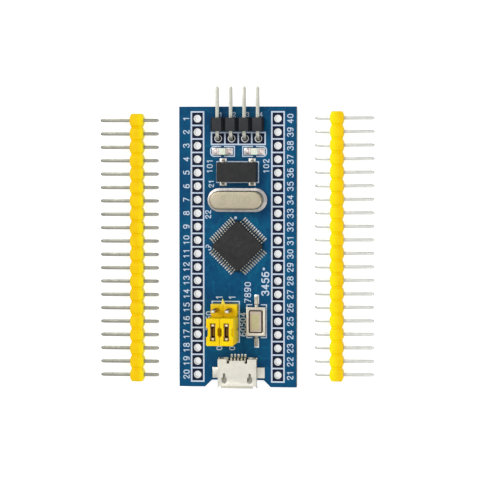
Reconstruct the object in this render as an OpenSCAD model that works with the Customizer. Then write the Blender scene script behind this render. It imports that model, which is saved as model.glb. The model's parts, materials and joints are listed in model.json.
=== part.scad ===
// Microcontroller dev board with a surface-mount controller set at 45 degrees, two
// crystals, a USB micro-B socket, a reset switch, a boot header with two jumper caps,
// a right-angle debug header and two loose header strips lying beside it.
// The origin is the centre of the two hole rows, on the underside of the laminate.
// +X runs across the board, +Y away from the USB socket and +Z out of the parts side.

/* [Board] */
// Width of the laminate
board_w = 22.2; // [22:0.1:24]
// Length of the laminate
board_l = 52.8; // [52.8:0.1:56]
// Thickness of the laminate
board_t = 1.6; // [1.2:0.1:2]
// Depth of the notch under the USB socket
notch_depth = 1.3; // [0.5:0.1:1.6]

/* [Header holes] */
// Holes in each row
row_holes = 20; // [20]
// Distance between holes and between pins
pitch = 2.54; // [2.54]
// Distance between the two rows
row_gap = 15.24; // [15.24]
// Radius of a finished header hole
hole_r = 0.575; // [0.56:0.005:0.6]
// Radius of the tinned ring round a header hole
ring_r = 0.7; // [0.7:0.005:0.8]

/* [Pins] */
// Side of a square pin
pin_side = 0.64; // [0.6:0.01:0.66]
// Height of a header housing
housing_h = 2.54; // [2.44:0.02:2.6]
// Length of a solder tail below the laminate
tail = 1.4; // [1.3:0.1:2]

/* [Controller] */
// Side of the controller's package
mcu_side = 7; // [7]
// Leads on each side of the controller
mcu_side_leads = 12; // [4:1:12]

/* [Crystals] */
// Height of the main crystal above the board
crystal_h = 3.5; // [3:0.1:4.5]
// Width of the main crystal's flange
crystal_flange_w = 4.5; // [4.3:0.05:4.7]

/* [Jumper caps] */
// Height of a jumper cap
cap_h = 6; // [5.5:0.1:7]
// Width of a jumper cap
cap_w = 2.46; // [2.3:0.02:2.48]
// Length of a jumper cap
cap_l = 5.05; // [4.9:0.05:5.06]

/* [Loose strips] */
// Long side of a strip's pins
strip_long_pin = 5.75; // [5:0.05:8]
// Short side of a strip's pins
strip_short_pin = 2.85; // [2.5:0.05:4]
// Distance from the board's middle to the left strip
strip_left_x = 19.4; // [18:0.1:30]
// Distance from the board's middle to the right strip
strip_right_x = 18.6; // [18:0.1:30]

/* [Hidden] */
$fn = 48;

// Layers on the laminate: copper and tin pads, solder mask, and ink on the mask
pad_t = 0.05;
mask_t = 0.03;
ink_t = pad_t - mask_t;
deck_z = board_t + pad_t;      // the level that every part on the top side stands on
plating_t = 0.05;
mask_gap = 0.05;               // clearance of the mask round a pad
ink_line = 0.28;
cut = 1;                       // how far a cutting shape runs past what it cuts

// The two rows of header holes
row_span = (row_holes - 1) * pitch;
row_ys = [for (i = [0 : row_holes - 1]) row_span / 2 - i * pitch];
ladder_w = 2.6;

// Notch in the edge under the USB socket
notch_inner_w = 9.9;
notch_outer_w = 12.5;

// Places of the parts on the top side
boot_x = -2.33;
boot_y = -14.21;
boot_xs = [for (s = [-1, 1]) boot_x + s * pitch / 2];
boot_ys = [for (s = [-1, 0, 1]) boot_y + s * pitch];
debug_x = 0.12;
debug_y = 20.4;
debug_xs = [for (i = [0 : 3]) debug_x + (i - 1.5) * pitch];
crystal_y = 8.86;
clock_y = 14.1;
led_y = 17.98;
led_xs = [-2.87, 3.2];
reset_x = 3.6;
reset_y = -13.95;
usb_x = 0.16;
usb_back_y = -20.8;
usb_front_y = -26.05;

// Controller: a 48-lead flat package
mcu_x = 0.08;
mcu_y = 0.2;
mcu_lead_pitch = 0.5;
mcu_lead_w = 0.22;
mcu_lead_t = 0.13;
mcu_foot = 4.5;
mcu_low = 0.1;
mcu_high = 1.5;
mcu_mid = (mcu_low + mcu_high) / 2;
mcu_draft = 0.14;

// Main crystal
crystal_straight = 6.8;
crystal_can_straight = 6.5;
crystal_plate_t = 0.35;
crystal_flange_t = 0.25;
crystal_wall = 0.2;
crystal_can_r = 1.74;
crystal_round = 0.38;
crystal_lead_r = 0.215;
crystal_lead_x = 2.44;
crystal_hole_r = 0.4;
crystal_seal_r = 0.55;

// Clock crystal
clock_l = 7.55;
clock_w = 3.7;
clock_h = 2.5;
clock_lead_x = 2.75;
clock_tube_r = 0.9;
clock_tube_l = 6.2;
clock_mid_z = deck_z + clock_h / 2;

// Light-emitting diodes
led_l = 2;
led_w = 1.25;
led_base_h = 0.35;
led_end = 0.25;
led_lens_h = 0.5;
led_chip_side = 0.3;
led_chip_h = 0.15;

// Reset switch
reset_w = 3.6;
reset_l = 5.4;
reset_skin = 0.1;
reset_base_h = 0.8;
reset_floor = 0.3;
reset_cover_low = 0.3;
reset_cover_high = 1.6;
reset_cover_t = 0.15;
reset_window_w = 2.7;
reset_window_l = 4.35;
reset_stem_w = 2.1;
reset_stem_l = 3.86;
reset_top_w = 1.35;
reset_top_l = 2.8;
reset_top_h = 2.2;
dome_r = 1.45;
dome_h = 0.35;
dome_t = 0.07;

// Boot header and jumper caps
boot_pin_above = 5.9;
boot_snapped = 0.26;            // what the housing lost where it was snapped off its row
chamfer = 0.3;
debug_notch = 0.46;
clip_t = 0.18;
clip_gap = pin_side + 0.06;
clip_w = clip_gap + 2 * clip_t;
clip_l = 3.7;
cap_pin_gap = 0.14;
cap_floor = 0.45;
cap_roof = 0.5;

// Debug header
debug_housing_y = debug_y + 1.37;
debug_tip_y = debug_y + 9.75;
debug_bend_r = 0.7;
debug_pin_z = deck_z + housing_h / 2;

// USB socket
usb_half = 3.65;
usb_high = 2.5;
usb_knee = 1.15;
usb_sole_half = 2.8;
usb_skin = 0.2;                 // leaves a mouth of 6.9 x 2.1 for the plug's 6.85 x 1.8
usb_block = 1;                   // thickness of the block behind the mouth
usb_tongue_half = 1.95;
usb_tongue_low = 1.35;
usb_tongue_high = 1.95;
usb_pin_pitch = 0.65;
usb_tab_out = 4.88;
usb_tab_y = -23.7;
usb_tab_l = 2;
usb_lip = 0.35;
usb_foot_y = -20.4;
usb_roof_y = -21;
usb_block_y = -21.55;
usb_ledge_h = 0.42;

// Parts on the underside: [x, y, turn]
chip_l = 1.6;
chip_w = 0.8;
chip_end = 0.32;
capacitor_h = 0.8;
resistor_h = 0.4;
resistor_coat_h = 0.06;
capacitor_places = [
    [3.1, 3.1, 45], [-3.1, 3.1, -45], [3.1, -3.1, -45], [-3.1, -3.1, 45],
    [0, 5.2, 0], [0, -5.2, 0], [5, 7.6, 90], [-5, 7.6, 90],
    [4.4, 14, 90], [-4.4, 14, 90], [5, -10.4, 90], [0.9, -17.4, 90],
    [0.9, -20.2, 90], [5.3, -21.6, 0], [2.7, -21.6, 0]
];
resistor_places = [
    [-5.2, -12, 90], [-5.2, -15.6, 90], [-3, 17.4, 0], [3, 17.4, 0],
    [3.2, -10.4, 90], [-1.2, -20.6, 90], [-2.9, -20.6, 90], [-4.6, -20.6, 90],
    [0, 12, 0], [-5, -6.6, 90]
];
regulator_x = 3.9;
regulator_y = -17.4;
regulator_w = 1.6;
regulator_l = 2.9;
regulator_low = 0.05;
regulator_high = 1.15;
regulator_pitch = 0.95;
regulator_foot = 1.4;

// Loose strips, which lie on the surface that the board's solder tails stand on
strip_z = -tail + pitch / 2;
waist_half = 0.75;
waist_depth = 0.3;
strip_left_y = -0.3;
strip_right_y = 0.12;

// ---------------------------------------------------------------- shapes used often

// A box centred on X and Y that stands on z
module slab(w, l, h, z = 0) {
    translate([-w / 2, -l / 2, z]) cube([w, l, h]);
}

// An outline with rounded corners, centred
module rounded_rect(w, l, r) {
    square([w - 2 * r, l], center = true);
    square([w, l - 2 * r], center = true);
    for (x = [-1, 1], y = [-1, 1]) translate([x * (w / 2 - r), y * (l / 2 - r)]) circle(r);
}

// The outline of a rectangular line drawn with the given width, centred on its edge
module frame_line(w, l, line) {
    difference() {
        square([w + line, l + line], center = true);
        square([w - line, l - line], center = true);
    }
}

function unit(v) = v / norm(v);
function left_of(a, b) = let (d = unit(b - a)) [-d.y, d.x];

// Point i of a path moved sideways, with mitred corners
function beside(path, i, away) =
    let (last = len(path) - 1,
         before = i == 0 ? left_of(path[0], path[1]) : left_of(path[i - 1], path[i]),
         after = i == last ? before : left_of(path[i], path[i + 1]),
         across = unit(before + after))
    path[i] + across * away / (across * before);

// A strip of even thickness along a path
module ribbon(path, t) {
    last = len(path) - 1;
    polygon(concat(
        [for (i = [0 : last]) beside(path, i, t / 2)],
        [for (i = [last : -1 : 0]) beside(path, i, -t / 2)]
    ));
}

// A ribbon in the plane of Y and Z, as wide along X as w
module bent_strip(path, t, w) {
    rotate([90, 0, 90]) translate([0, 0, -w / 2]) linear_extrude(w) ribbon(path, t);
}

// A body whose four sides lean in above and below a waist
module drafted_body(w, l, low, high, draft) {
    middle = (low + high) / 2;
    intersection() {
        rotate([90, 0, 90]) translate([0, 0, -w / 2 - cut]) linear_extrude(w + 2 * cut)
            polygon([[-l / 2 + draft, low], [l / 2 - draft, low], [l / 2, middle],
                     [l / 2 - draft, high], [-l / 2 + draft, high], [-l / 2, middle]]);
        rotate([90, 0, 0]) translate([0, 0, -l / 2 - cut]) linear_extrude(l + 2 * cut)
            polygon([[-w / 2 + draft, low], [w / 2 - draft, low], [w / 2, middle],
                     [w / 2 - draft, high], [-w / 2 + draft, high], [-w / 2, middle]]);
    }
}

// Outline of a pin along Y from one end to the other, with tapered ends
module pin_outline(from, to, tip = 0.35) {
    narrow = pin_side / 4;
    polygon([[-narrow, from], [narrow, from], [pin_side / 2, from + tip],
             [pin_side / 2, to - tip], [narrow, to], [-narrow, to],
             [-pin_side / 2, to - tip], [-pin_side / 2, from + tip]]);
}

// A square pin along Z with four-sided points
module upright_pin(from, to) {
    intersection() {
        rotate([90, 0, 0]) translate([0, 0, -pin_side / 2]) linear_extrude(pin_side) pin_outline(from, to);
        rotate([90, 0, 90]) translate([0, 0, -pin_side / 2]) linear_extrude(pin_side) pin_outline(from, to);
    }
}

// Outline of a housing with the given columns and rows, with a V notch between positions
module housing_outline(columns, rows, notch = chamfer) {
    w = columns * pitch;
    l = rows * pitch;
    difference() {
        square([w, l], center = true);
        for (i = [0 : rows], s = [-1, 1])
            translate([s * w / 2, i * pitch - l / 2]) rotate(45)
                square(notch * sqrt(2), center = true);
    }
}

// Where pins pass through a housing
module pin_openings(columns, rows) {
    for (x = [0 : columns - 1], y = [0 : rows - 1])
        translate([(x - (columns - 1) / 2) * pitch, (y - (rows - 1) / 2) * pitch])
            square(pin_side, center = true);
}

// ---------------------------------------------------------------- the board

module each_header_hole() {
    for (s = [-1, 1], y = row_ys) translate([s * row_gap / 2, y]) children();
}

module each_pin_hole() {
    for (x = boot_xs, y = boot_ys) translate([x, y]) children();
    for (x = debug_xs) translate([x, debug_y]) children();
}

module each_crystal_hole() {
    for (s = [-1, 1]) translate([s * crystal_lead_x, crystal_y]) children();
}

module board_outline() {
    edge = -board_l / 2;
    difference() {
        square([board_w, board_l], center = true);
        polygon([[-notch_outer_w / 2, edge], [-notch_inner_w / 2, edge + notch_depth],
                 [notch_inner_w / 2, edge + notch_depth], [notch_outer_w / 2, edge],
                 [notch_outer_w / 2, edge - cut], [-notch_outer_w / 2, edge - cut]]);
    }
}

module pcb_laminate() {
    color("peru") linear_extrude(board_t) difference() {
        board_outline();
        each_header_hole() circle(hole_r + plating_t);
        each_pin_hole() circle(hole_r + plating_t);
        each_crystal_hole() circle(crystal_hole_r + plating_t);
    }
}

// A plated hole: a barrel through the laminate with a ring on each face
module plated_hole(inner, ring) {
    difference() {
        union() {
            translate([0, 0, -pad_t]) cylinder(r = ring, h = pad_t);
            translate([0, 0, board_t]) cylinder(r = ring, h = pad_t);
            translate([0, 0, -pad_t]) cylinder(r = inner + plating_t, h = board_t + 2 * pad_t);
        }
        translate([0, 0, -cut]) cylinder(r = inner, h = board_t + 2 * cut);
    }
}

module header_hole_plating() {
    color("gainsboro") each_header_hole() plated_hole(hole_r, ring_r);
}

module part_hole_plating() {
    color("gainsboro") {
        each_pin_hole() plated_hole(hole_r, ring_r);
        each_crystal_hole() plated_hole(crystal_hole_r, ring_r - 0.1);
    }
}

// ---- pads for parts on the top side, grown by a margin for the mask's openings

module mcu_pads(grow) {
    translate([mcu_x, mcu_y]) rotate(45) for (side = [0 : 3], i = [0 : mcu_side_leads - 1])
        rotate(90 * side) translate([4.4, (i - (mcu_side_leads - 1) / 2) * mcu_lead_pitch])
            square([0.9 + 2 * grow, 0.25 + 2 * grow], center = true);
}

module clock_pads(grow) {
    for (x = [-1, 1], y = [-1, 1])
        translate([x * clock_lead_x, clock_y + y * 2.05])
            square([1.3 + 2 * grow, 1 + 2 * grow], center = true);
}

module led_pads(grow) {
    for (x = led_xs, s = [-1, 1])
        translate([x + s * 1.4, led_y]) square([1.1 + 2 * grow, 1.3 + 2 * grow], center = true);
}

module reset_pads(grow) {
    for (s = [-1, 1])
        translate([reset_x, reset_y + s * 4.1]) square([0.85 + 2 * grow, 1.8 + 2 * grow], center = true);
}

module usb_pads(grow) {
    translate([usb_x, 0]) {
        for (i = [-2 : 2])
            translate([i * usb_pin_pitch, usb_foot_y - 0.4])
                square([0.36 + 2 * grow, 1.2 + 2 * grow], center = true);
        for (s = [-1, 1])
            translate([s * 3.95, usb_tab_y]) square([2 + 2 * grow, 2 + 2 * grow], center = true);
    }
}

module top_pads(grow = 0) {
    mcu_pads(grow);
    clock_pads(grow);
    led_pads(grow);
    reset_pads(grow);
    usb_pads(grow);
}

module smd_pads_top() {
    color("gainsboro") translate([0, 0, board_t]) linear_extrude(pad_t) top_pads();
}

// ---- pads for parts on the underside

module bottom_pads(grow = 0) {
    for (p = concat(capacitor_places, resistor_places)) translate([p.x, p.y]) rotate(p.z)
        for (s = [-1, 1]) translate([s * 0.8, 0]) square([0.8 + 2 * grow, 0.9 + 2 * grow], center = true);
    translate([regulator_x, regulator_y]) regulator_lead_places()
        translate([1.3, 0]) square([0.9 + 2 * grow, 0.6 + 2 * grow], center = true);
}

module smd_pads_bottom() {
    color("gainsboro") translate([0, 0, -pad_t]) linear_extrude(pad_t) bottom_pads();
}

module mask_outline() {
    difference() {
        board_outline();
        each_header_hole() circle(ring_r + mask_gap);
        each_pin_hole() circle(ring_r + mask_gap);
        each_crystal_hole() circle(ring_r + mask_gap);
        children();
    }
}

module solder_mask_top() {
    color("steelblue") translate([0, 0, board_t]) linear_extrude(mask_t)
        mask_outline() top_pads(mask_gap);
}

module solder_mask_bottom() {
    color("steelblue") translate([0, 0, -mask_t]) linear_extrude(mask_t)
        mask_outline() bottom_pads(mask_gap);
}

// ---- ink

// The two ladders of boxes round the header holes
module ladder_ink() {
    for (s = [-1, 1]) translate([s * row_gap / 2, 0]) difference() {
        square([ladder_w, row_span + pitch + ink_line], center = true);
        for (y = row_ys) translate([0, y]) square([ladder_w - 2 * ink_line, pitch - ink_line], center = true);
    }
}

// A box round each pin of the debug header
module debug_ink() {
    translate([debug_x, debug_y]) difference() {
        square([4 * pitch + ink_line, 2.5], center = true);
        for (i = [0 : 3]) translate([(i - 1.5) * pitch, 0])
            square([pitch - ink_line, 2.5 - 2 * ink_line], center = true);
    }
}

// A diode's outline: its cathode's corners rounded, open in the middle of both long sides
module led_ink(x, way) {
    half_l = 2.35;
    half_w = 1.03;
    line = 0.22;
    translate([x, led_y]) scale([way, 1, 1]) difference() {
        union() {
            rounded_rect(2 * half_l, 2 * half_w, 0.75);
            translate([-half_l, -half_w]) square([half_l, 2 * half_w]);
        }
        rounded_rect(2 * (half_l - line), 2 * (half_w - line), 0.55);
        translate([line - half_l, line - half_w]) square([half_l, 2 * (half_w - line)]);
        square([0.55, 4], center = true);
    }
}

module clock_ink() {
    translate([0, clock_y]) difference() {
        frame_line(clock_l + 0.35, clock_w + 0.2, 0.2);
        for (s = [-1, 1]) translate([s * clock_lead_x, 0]) square([1.6, 6], center = true);
    }
}

module boot_ink() {
    translate([boot_x + 0.05, boot_y + 0.1]) frame_line(2 * pitch + 0.08, 3 * pitch + 0.06, 0.22);
}

module reset_ink() {
    translate([reset_x, reset_y]) difference() {
        frame_line(reset_w + 0.1, reset_l + 0.8, 0.2);
        square([1.6, 10], center = true);
    }
}

module pin_one_ink() {
    translate([-0.4, 5.5]) circle(0.28);
}

module silkscreen_top() {
    color("white") translate([0, 0, board_t + mask_t]) linear_extrude(ink_t) {
        ladder_ink();
        debug_ink();
        led_ink(led_xs[0], -1);
        led_ink(led_xs[1], 1);
        clock_ink();
        boot_ink();
        reset_ink();
        pin_one_ink();
    }
}

module silkscreen_bottom() {
    color("white") translate([0, 0, -pad_t]) linear_extrude(ink_t) {
        ladder_ink();
        translate([regulator_x, regulator_y]) for (s = [-1, 1])
            translate([0, s * 1.75]) square([1.8, 0.15], center = true);
        for (p = concat(capacitor_places, resistor_places)) translate([p.x, p.y]) rotate(p.z)
            for (s = [-1, 1]) translate([0, s * 0.72]) square([1, 0.15], center = true);
    }
}

// ---------------------------------------------------------------- controller

module mcu_lead_shapes() {
    foot_z = deck_z + mcu_lead_t / 2;
    high_z = deck_z + mcu_mid;
    translate([mcu_x, mcu_y, 0]) rotate(45) for (side = [0 : 3], i = [0 : mcu_side_leads - 1])
        rotate(90 * side) translate([(i - (mcu_side_leads - 1) / 2) * mcu_lead_pitch, 0, 0])
            bent_strip([[3.2, high_z], [3.75, high_z], [3.97, foot_z], [mcu_foot, foot_z]],
                       mcu_lead_t, mcu_lead_w);
}

module mcu_die() {
    color("dimgray") translate([mcu_x, mcu_y]) rotate(45) slab(3.6, 3.6, 0.3, deck_z + 0.75);
}

module mcu_die_paddle() {
    color("peru") translate([mcu_x, mcu_y]) rotate(45) slab(4.6, 4.6, 0.15, deck_z + 0.6);
}

module mcu_package() {
    color([0.2, 0.2, 0.2]) difference() {
        translate([mcu_x, mcu_y]) rotate(45)
            drafted_body(mcu_side, mcu_side, deck_z + mcu_low, deck_z + mcu_high, mcu_draft);
        mcu_lead_shapes();
        mcu_die();
        mcu_die_paddle();
        translate([mcu_x, mcu_y + 4.05, deck_z + mcu_high - 0.05]) cylinder(r = 0.35, h = cut);
    }
}

module mcu_leads() {
    color("silver") mcu_lead_shapes();
}

// ---------------------------------------------------------------- main crystal

// The half section of a round-ended solid, swept along its straight part and turned at its ends
module round_ended(straight) {
    for (s = [0, 1]) mirror([s, 0, 0]) translate([straight / 2, 0, 0])
        rotate(-90) rotate_extrude(angle = 180) children();
    for (s = [0, 1]) mirror([0, s, 0]) rotate([90, 0, 90]) translate([0, 0, -straight / 2])
        linear_extrude(straight) children();
}

// Half section of a drawn can: r wide and h high with a rounded top edge
module can_section(r, h, bend) {
    square([r, h - bend]);
    square([r - bend, h]);
    translate([r - bend, h - bend]) circle(bend);
}

module crystal_at_place() {
    translate([0, crystal_y, deck_z]) children();
}

module crystal_can() {
    rim_z = crystal_plate_t;
    color("silver") crystal_at_place() difference() {
        union() {
            translate([0, 0, rim_z]) round_ended(crystal_straight)
                square([crystal_flange_w / 2, crystal_flange_t]);
            translate([0, 0, rim_z]) round_ended(crystal_can_straight)
                can_section(crystal_can_r, crystal_h - rim_z, crystal_round);
        }
        translate([0, 0, rim_z - cut]) round_ended(crystal_can_straight)
            can_section(crystal_can_r - crystal_wall, crystal_h - rim_z - crystal_wall + cut,
                        crystal_round - crystal_wall);
    }
}

module crystal_base() {
    color("silver") crystal_at_place() difference() {
        round_ended(crystal_straight) square([crystal_flange_w / 2, crystal_plate_t]);
        for (s = [-1, 1]) translate([s * crystal_lead_x, 0, -cut]) cylinder(r = crystal_seal_r, h = 3 * cut);
    }
}

module crystal_glass_seals() {
    color("darkseagreen") crystal_at_place() for (s = [-1, 1]) translate([s * crystal_lead_x, 0, 0])
        difference() {
            cylinder(r = crystal_seal_r, h = crystal_plate_t);
            translate([0, 0, -cut]) cylinder(r = crystal_lead_r, h = 3 * cut);
        }
}

module crystal_leads() {
    color("silver") for (s = [-1, 1]) translate([s * crystal_lead_x, crystal_y, -tail])
        cylinder(r = crystal_lead_r, h = tail + deck_z + crystal_plate_t + 0.4);
}

module crystal_spring_clips() {
    clip_z = crystal_plate_t + 0.4;
    color("silver") crystal_at_place() for (s = [-1, 1]) scale([s, 1, 1])
        translate([0, 0, clip_z]) rotate([90, 0, 0]) translate([0, 0, -0.6]) linear_extrude(1.2)
            ribbon([[1.9, 0.05], [4.4, 0.05], [4.4, 0.95], [3.5, 0.95]], 0.1);
}

module crystal_quartz_blank() {
    color("lavender") crystal_at_place() slab(8, 1.8, 0.15, crystal_plate_t + 1.1);
}

// ---------------------------------------------------------------- clock crystal

module clock_lead_shapes() {
    foot_z = deck_z + 0.075;
    for (x = [-1, 1], y = [0, 1]) translate([x * clock_lead_x, clock_y, 0]) mirror([0, y, 0])
        bent_strip([[1.5, deck_z + 0.8], [2, deck_z + 0.8], [2.12, foot_z], [2.5, foot_z]], 0.15, 0.6);
}

module clock_crystal_tube() {
    color("silver") translate([-clock_tube_l / 2, clock_y, clock_mid_z]) rotate([0, 90, 0])
        cylinder(r = clock_tube_r, h = clock_tube_l);
}

module clock_crystal_package() {
    color([0.15, 0.15, 0.16]) difference() {
        translate([0, clock_y, 0])
            drafted_body(clock_l, clock_w, deck_z + 0.05, deck_z + clock_h, 0.1);
        clock_lead_shapes();
        clock_crystal_tube();
    }
}

module clock_crystal_leads() {
    color("silver") clock_lead_shapes();
}

// ---------------------------------------------------------------- light-emitting diodes

module each_led() {
    for (x = led_xs) translate([x, led_y, deck_z]) children();
}

module led_substrates() {
    color("white") each_led() slab(led_l - 2 * led_end, led_w, led_base_h);
}

module led_terminals() {
    color("silver") each_led() for (s = [-1, 1])
        translate([s * (led_l - led_end) / 2, 0, 0]) slab(led_end, led_w, led_base_h);
}

module led_chips() {
    color("gold") each_led() slab(led_chip_side, led_chip_side, led_chip_h, led_base_h);
}

module led_lenses() {
    low = led_base_h;
    high = low + led_lens_h;
    half = led_l / 2 - led_end;
    color("honeydew") each_led() difference() {
        rotate([90, 0, 0]) translate([0, 0, -led_w / 2]) linear_extrude(led_w)
            polygon([[-half, low], [half, low], [half - 0.12, high], [-half + 0.12, high]]);
        slab(led_chip_side, led_chip_side, led_chip_h, led_base_h);
    }
}

// ---------------------------------------------------------------- reset switch

module reset_at_place() {
    translate([reset_x, reset_y, deck_z]) children();
}

module reset_terminal_shapes() {
    for (s = [0, 1]) mirror([0, s, 0])
        bent_strip([[0.9, 0.2], [3.1, 0.2], [3.25, 0.075], [4.7, 0.075]], 0.15, 0.66);
}

module reset_switch_base() {
    color("dimgray") reset_at_place() difference() {
        slab(reset_w - 2 * reset_skin, reset_l - 2 * reset_skin, reset_base_h);
        translate([0, 0, reset_floor]) cylinder(r = dome_r + 0.05, h = cut);
        reset_terminal_shapes();
    }
}

module reset_switch_cover() {
    inner_w = reset_w - 2 * reset_skin;
    inner_l = reset_l - 2 * reset_skin;
    color("wheat") reset_at_place() difference() {
        translate([0, 0, reset_cover_low]) linear_extrude(reset_cover_high - reset_cover_low)
            square([reset_w, reset_l], center = true);
        slab(inner_w, inner_l, reset_cover_high - reset_cover_t);
        translate([0, 0, reset_cover_low]) linear_extrude(2 * cut)
            rounded_rect(reset_window_w, reset_window_l, 0.4);
    }
}

module reset_switch_terminals() {
    color("silver") reset_at_place() reset_terminal_shapes();
}

// A thin round cap that stands on the base's floor
module reset_switch_dome() {
    sphere_r = (dome_r * dome_r + dome_h * dome_h) / (2 * dome_h);
    color("silver") reset_at_place() translate([0, 0, reset_floor]) intersection() {
        difference() {
            translate([0, 0, dome_h - sphere_r]) sphere(sphere_r);
            translate([0, 0, dome_h - sphere_r]) sphere(sphere_r - dome_t);
        }
        cylinder(r = 2 * dome_r, h = dome_h + cut);
    }
}

module reset_button() {
    flange_z = reset_cover_high - reset_cover_t - 0.32;
    shoulder_z = reset_cover_high + 0.15;
    boss_z = reset_floor + dome_h + 0.01;
    color("wheat") reset_at_place() {
        slab(3.1, 4.9, 0.3, flange_z);
        slab(reset_stem_w, reset_stem_l, shoulder_z - flange_z, flange_z);
        translate([0, 0, boss_z]) cylinder(r = 0.5, h = flange_z - boss_z + 0.1);
        hull() {
            slab(reset_stem_w, reset_stem_l, 0.01, shoulder_z - 0.01);
            slab(reset_top_w, reset_top_l, 0.01, reset_top_h - 0.01);
        }
    }
}

// ---------------------------------------------------------------- boot header

module boot_header_housing() {
    color("gold") translate([boot_x, boot_y, deck_z]) difference() {
        linear_extrude(housing_h) difference() {
            intersection() {
                housing_outline(2, 3);
                translate([0, -boot_snapped / 2])
                    square([2 * pitch - 0.14, 3 * pitch - boot_snapped], center = true);
            }
            pin_openings(2, 3);
        }
        translate([0, 0, housing_h]) rotate([90, 0, 0]) cylinder(r = 0.12, h = 10, center = true);
    }
    // the burr left where the housing was snapped off its row
    color("gold") translate([boot_x, boot_y + 1.5 * pitch - boot_snapped, deck_z + 1.3])
        linear_extrude(0.9) polygon([[-0.55, 0], [0.2, 0], [-0.3, 1.05]]);
}

module boot_header_pins() {
    color("silver") for (x = boot_xs, y = boot_ys) translate([x, y, 0])
        upright_pin(-tail, deck_z + housing_h + boot_pin_above);
}

// A cap's origin is the middle of its foot, between its two pins
module cap_shell() {
    difference() {
        linear_extrude(cap_h) rounded_rect(cap_w, cap_l, 0.15);
        // room for the clip
        slab(clip_w, clip_l + 0.4, cap_h - cap_floor - cap_roof, cap_floor);
        // the two pins come in through the floor
        for (s = [-1, 1]) translate([0, s * pitch / 2, -cut])
            slab(pin_side + 2 * cap_pin_gap, pin_side + 2 * cap_pin_gap, cap_floor + 2 * cut);
        // the slot in the roof, wider over each pin
        slab(0.95, 2.2, 2 * cut, cap_h - cut);
        for (s = [-1, 1]) translate([0, s * (pitch / 2 - 0.05), 0]) slab(1.1, 0.9, 2 * cut, cap_h - cut);
        // a finger recess with sloping ends at the top of both long sides
        for (s = [0, 1]) mirror([s, 0, 0]) translate([cap_w / 2, 0, cap_h - 2.2])
            linear_extrude(2.2 + cut) polygon([[0.4, -1], [0.4, 1], [0, 1], [-0.38, 0.55],
                                               [-0.38, -0.55], [0, -1]]);
    }
}

// Two leaves that face the pins' sides, joined by a bridge between the pins
module cap_clip() {
    leaf_h = cap_h - cap_floor - cap_roof;
    for (s = [-1, 1]) translate([s * (clip_gap + clip_t) / 2, 0, 0]) slab(clip_t, clip_l, leaf_h, cap_floor);
    slab(clip_w, 1.1, clip_t, cap_floor + 0.8);
}

module cap_at_place(column) {
    translate([boot_xs[column], boot_y - pitch / 2, deck_z + housing_h]) children();
}

module left_jumper_cap() {
    color("gold") cap_at_place(0) cap_shell();
}

module left_jumper_clip() {
    color("silver") cap_at_place(0) cap_clip();
}

module right_jumper_cap() {
    color("gold") cap_at_place(1) cap_shell();
}

module right_jumper_clip() {
    color("silver") cap_at_place(1) cap_clip();
}

// ---------------------------------------------------------------- debug header

module debug_pin_shape() {
    r = debug_bend_r;
    bend = [for (a = [0 : 22.5 : 90]) [debug_y + r - r * sin(a), debug_pin_z - r + r * cos(a)]];
    tip = 0.35;
    narrow = pin_side / 4;
    wide = pin_side / 2;
    path = concat([[debug_tip_y, debug_pin_z]], bend, [[debug_y, -tail]]);
    intersection() {
        bent_strip(path, pin_side, pin_side);
        // points at both ends, seen from above and from the front
        rotate([90, 0, 0]) translate([0, 0, -debug_tip_y - cut]) linear_extrude(debug_tip_y + 2 * cut)
            polygon([[-narrow, -tail], [narrow, -tail], [wide, -tail + tip], [wide, 10],
                     [-wide, 10], [-wide, -tail + tip]]);
        translate([0, 0, -tail - cut]) linear_extrude(10)
            polygon([[-wide, 0], [wide, 0], [wide, debug_tip_y - tip], [narrow, debug_tip_y],
                     [-narrow, debug_tip_y], [-wide, debug_tip_y - tip]]);
    }
}

module debug_header_pins() {
    color("silver") for (x = debug_xs) translate([x, 0, 0]) debug_pin_shape();
}

module debug_header_housing() {
    color([0.15, 0.15, 0.16]) translate([debug_x, debug_housing_y, debug_pin_z])
        rotate([-90, 90, 0]) linear_extrude(housing_h) difference() {
            intersection() {
                housing_outline(1, 4, debug_notch);
                square([housing_h, 4 * pitch - 0.24], center = true);
            }
            pin_openings(1, 4);
        }
}

// ---------------------------------------------------------------- USB socket

// The shell's section across the board, inset by a distance
module usb_section(inset) {
    knee_turn = atan((usb_half - usb_sole_half) / usb_knee);
    knee_z = usb_knee + inset * tan(knee_turn / 2);
    sole = usb_sole_half - inset * tan((90 - knee_turn) / 2);
    side = usb_half - inset;
    polygon([[-side, usb_high - inset], [side, usb_high - inset], [side, knee_z],
             [sole, inset], [-sole, inset], [-side, knee_z]]);
}

// An extrusion along Y between two places
module along_y(from, to) {
    translate([0, to, deck_z]) rotate([90, 0, 0]) linear_extrude(to - from) children();
}

// The flared lips round the mouth
module usb_lips() {
    top_z = deck_z + usb_high - usb_skin / 2;
    low_z = deck_z + usb_skin / 2;
    start = usb_front_y + 0.05;
    bent_strip([[start, top_z], [usb_front_y, top_z], [usb_front_y - usb_lip, top_z + 0.3]], usb_skin, 6.1);
    bent_strip([[start, low_z], [usb_front_y, low_z], [usb_front_y - usb_lip, low_z - 0.2]], usb_skin, 4.6);
    for (s = [-1, 1]) scale([s, 1, 1]) translate([0, 0, deck_z + usb_knee + 0.1]) linear_extrude(0.95)
        ribbon([[usb_half - usb_skin / 2, start], [usb_half - usb_skin / 2, usb_front_y],
                [usb_half - usb_skin / 2 + 0.2, usb_front_y - usb_lip]], usb_skin);
}

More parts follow.
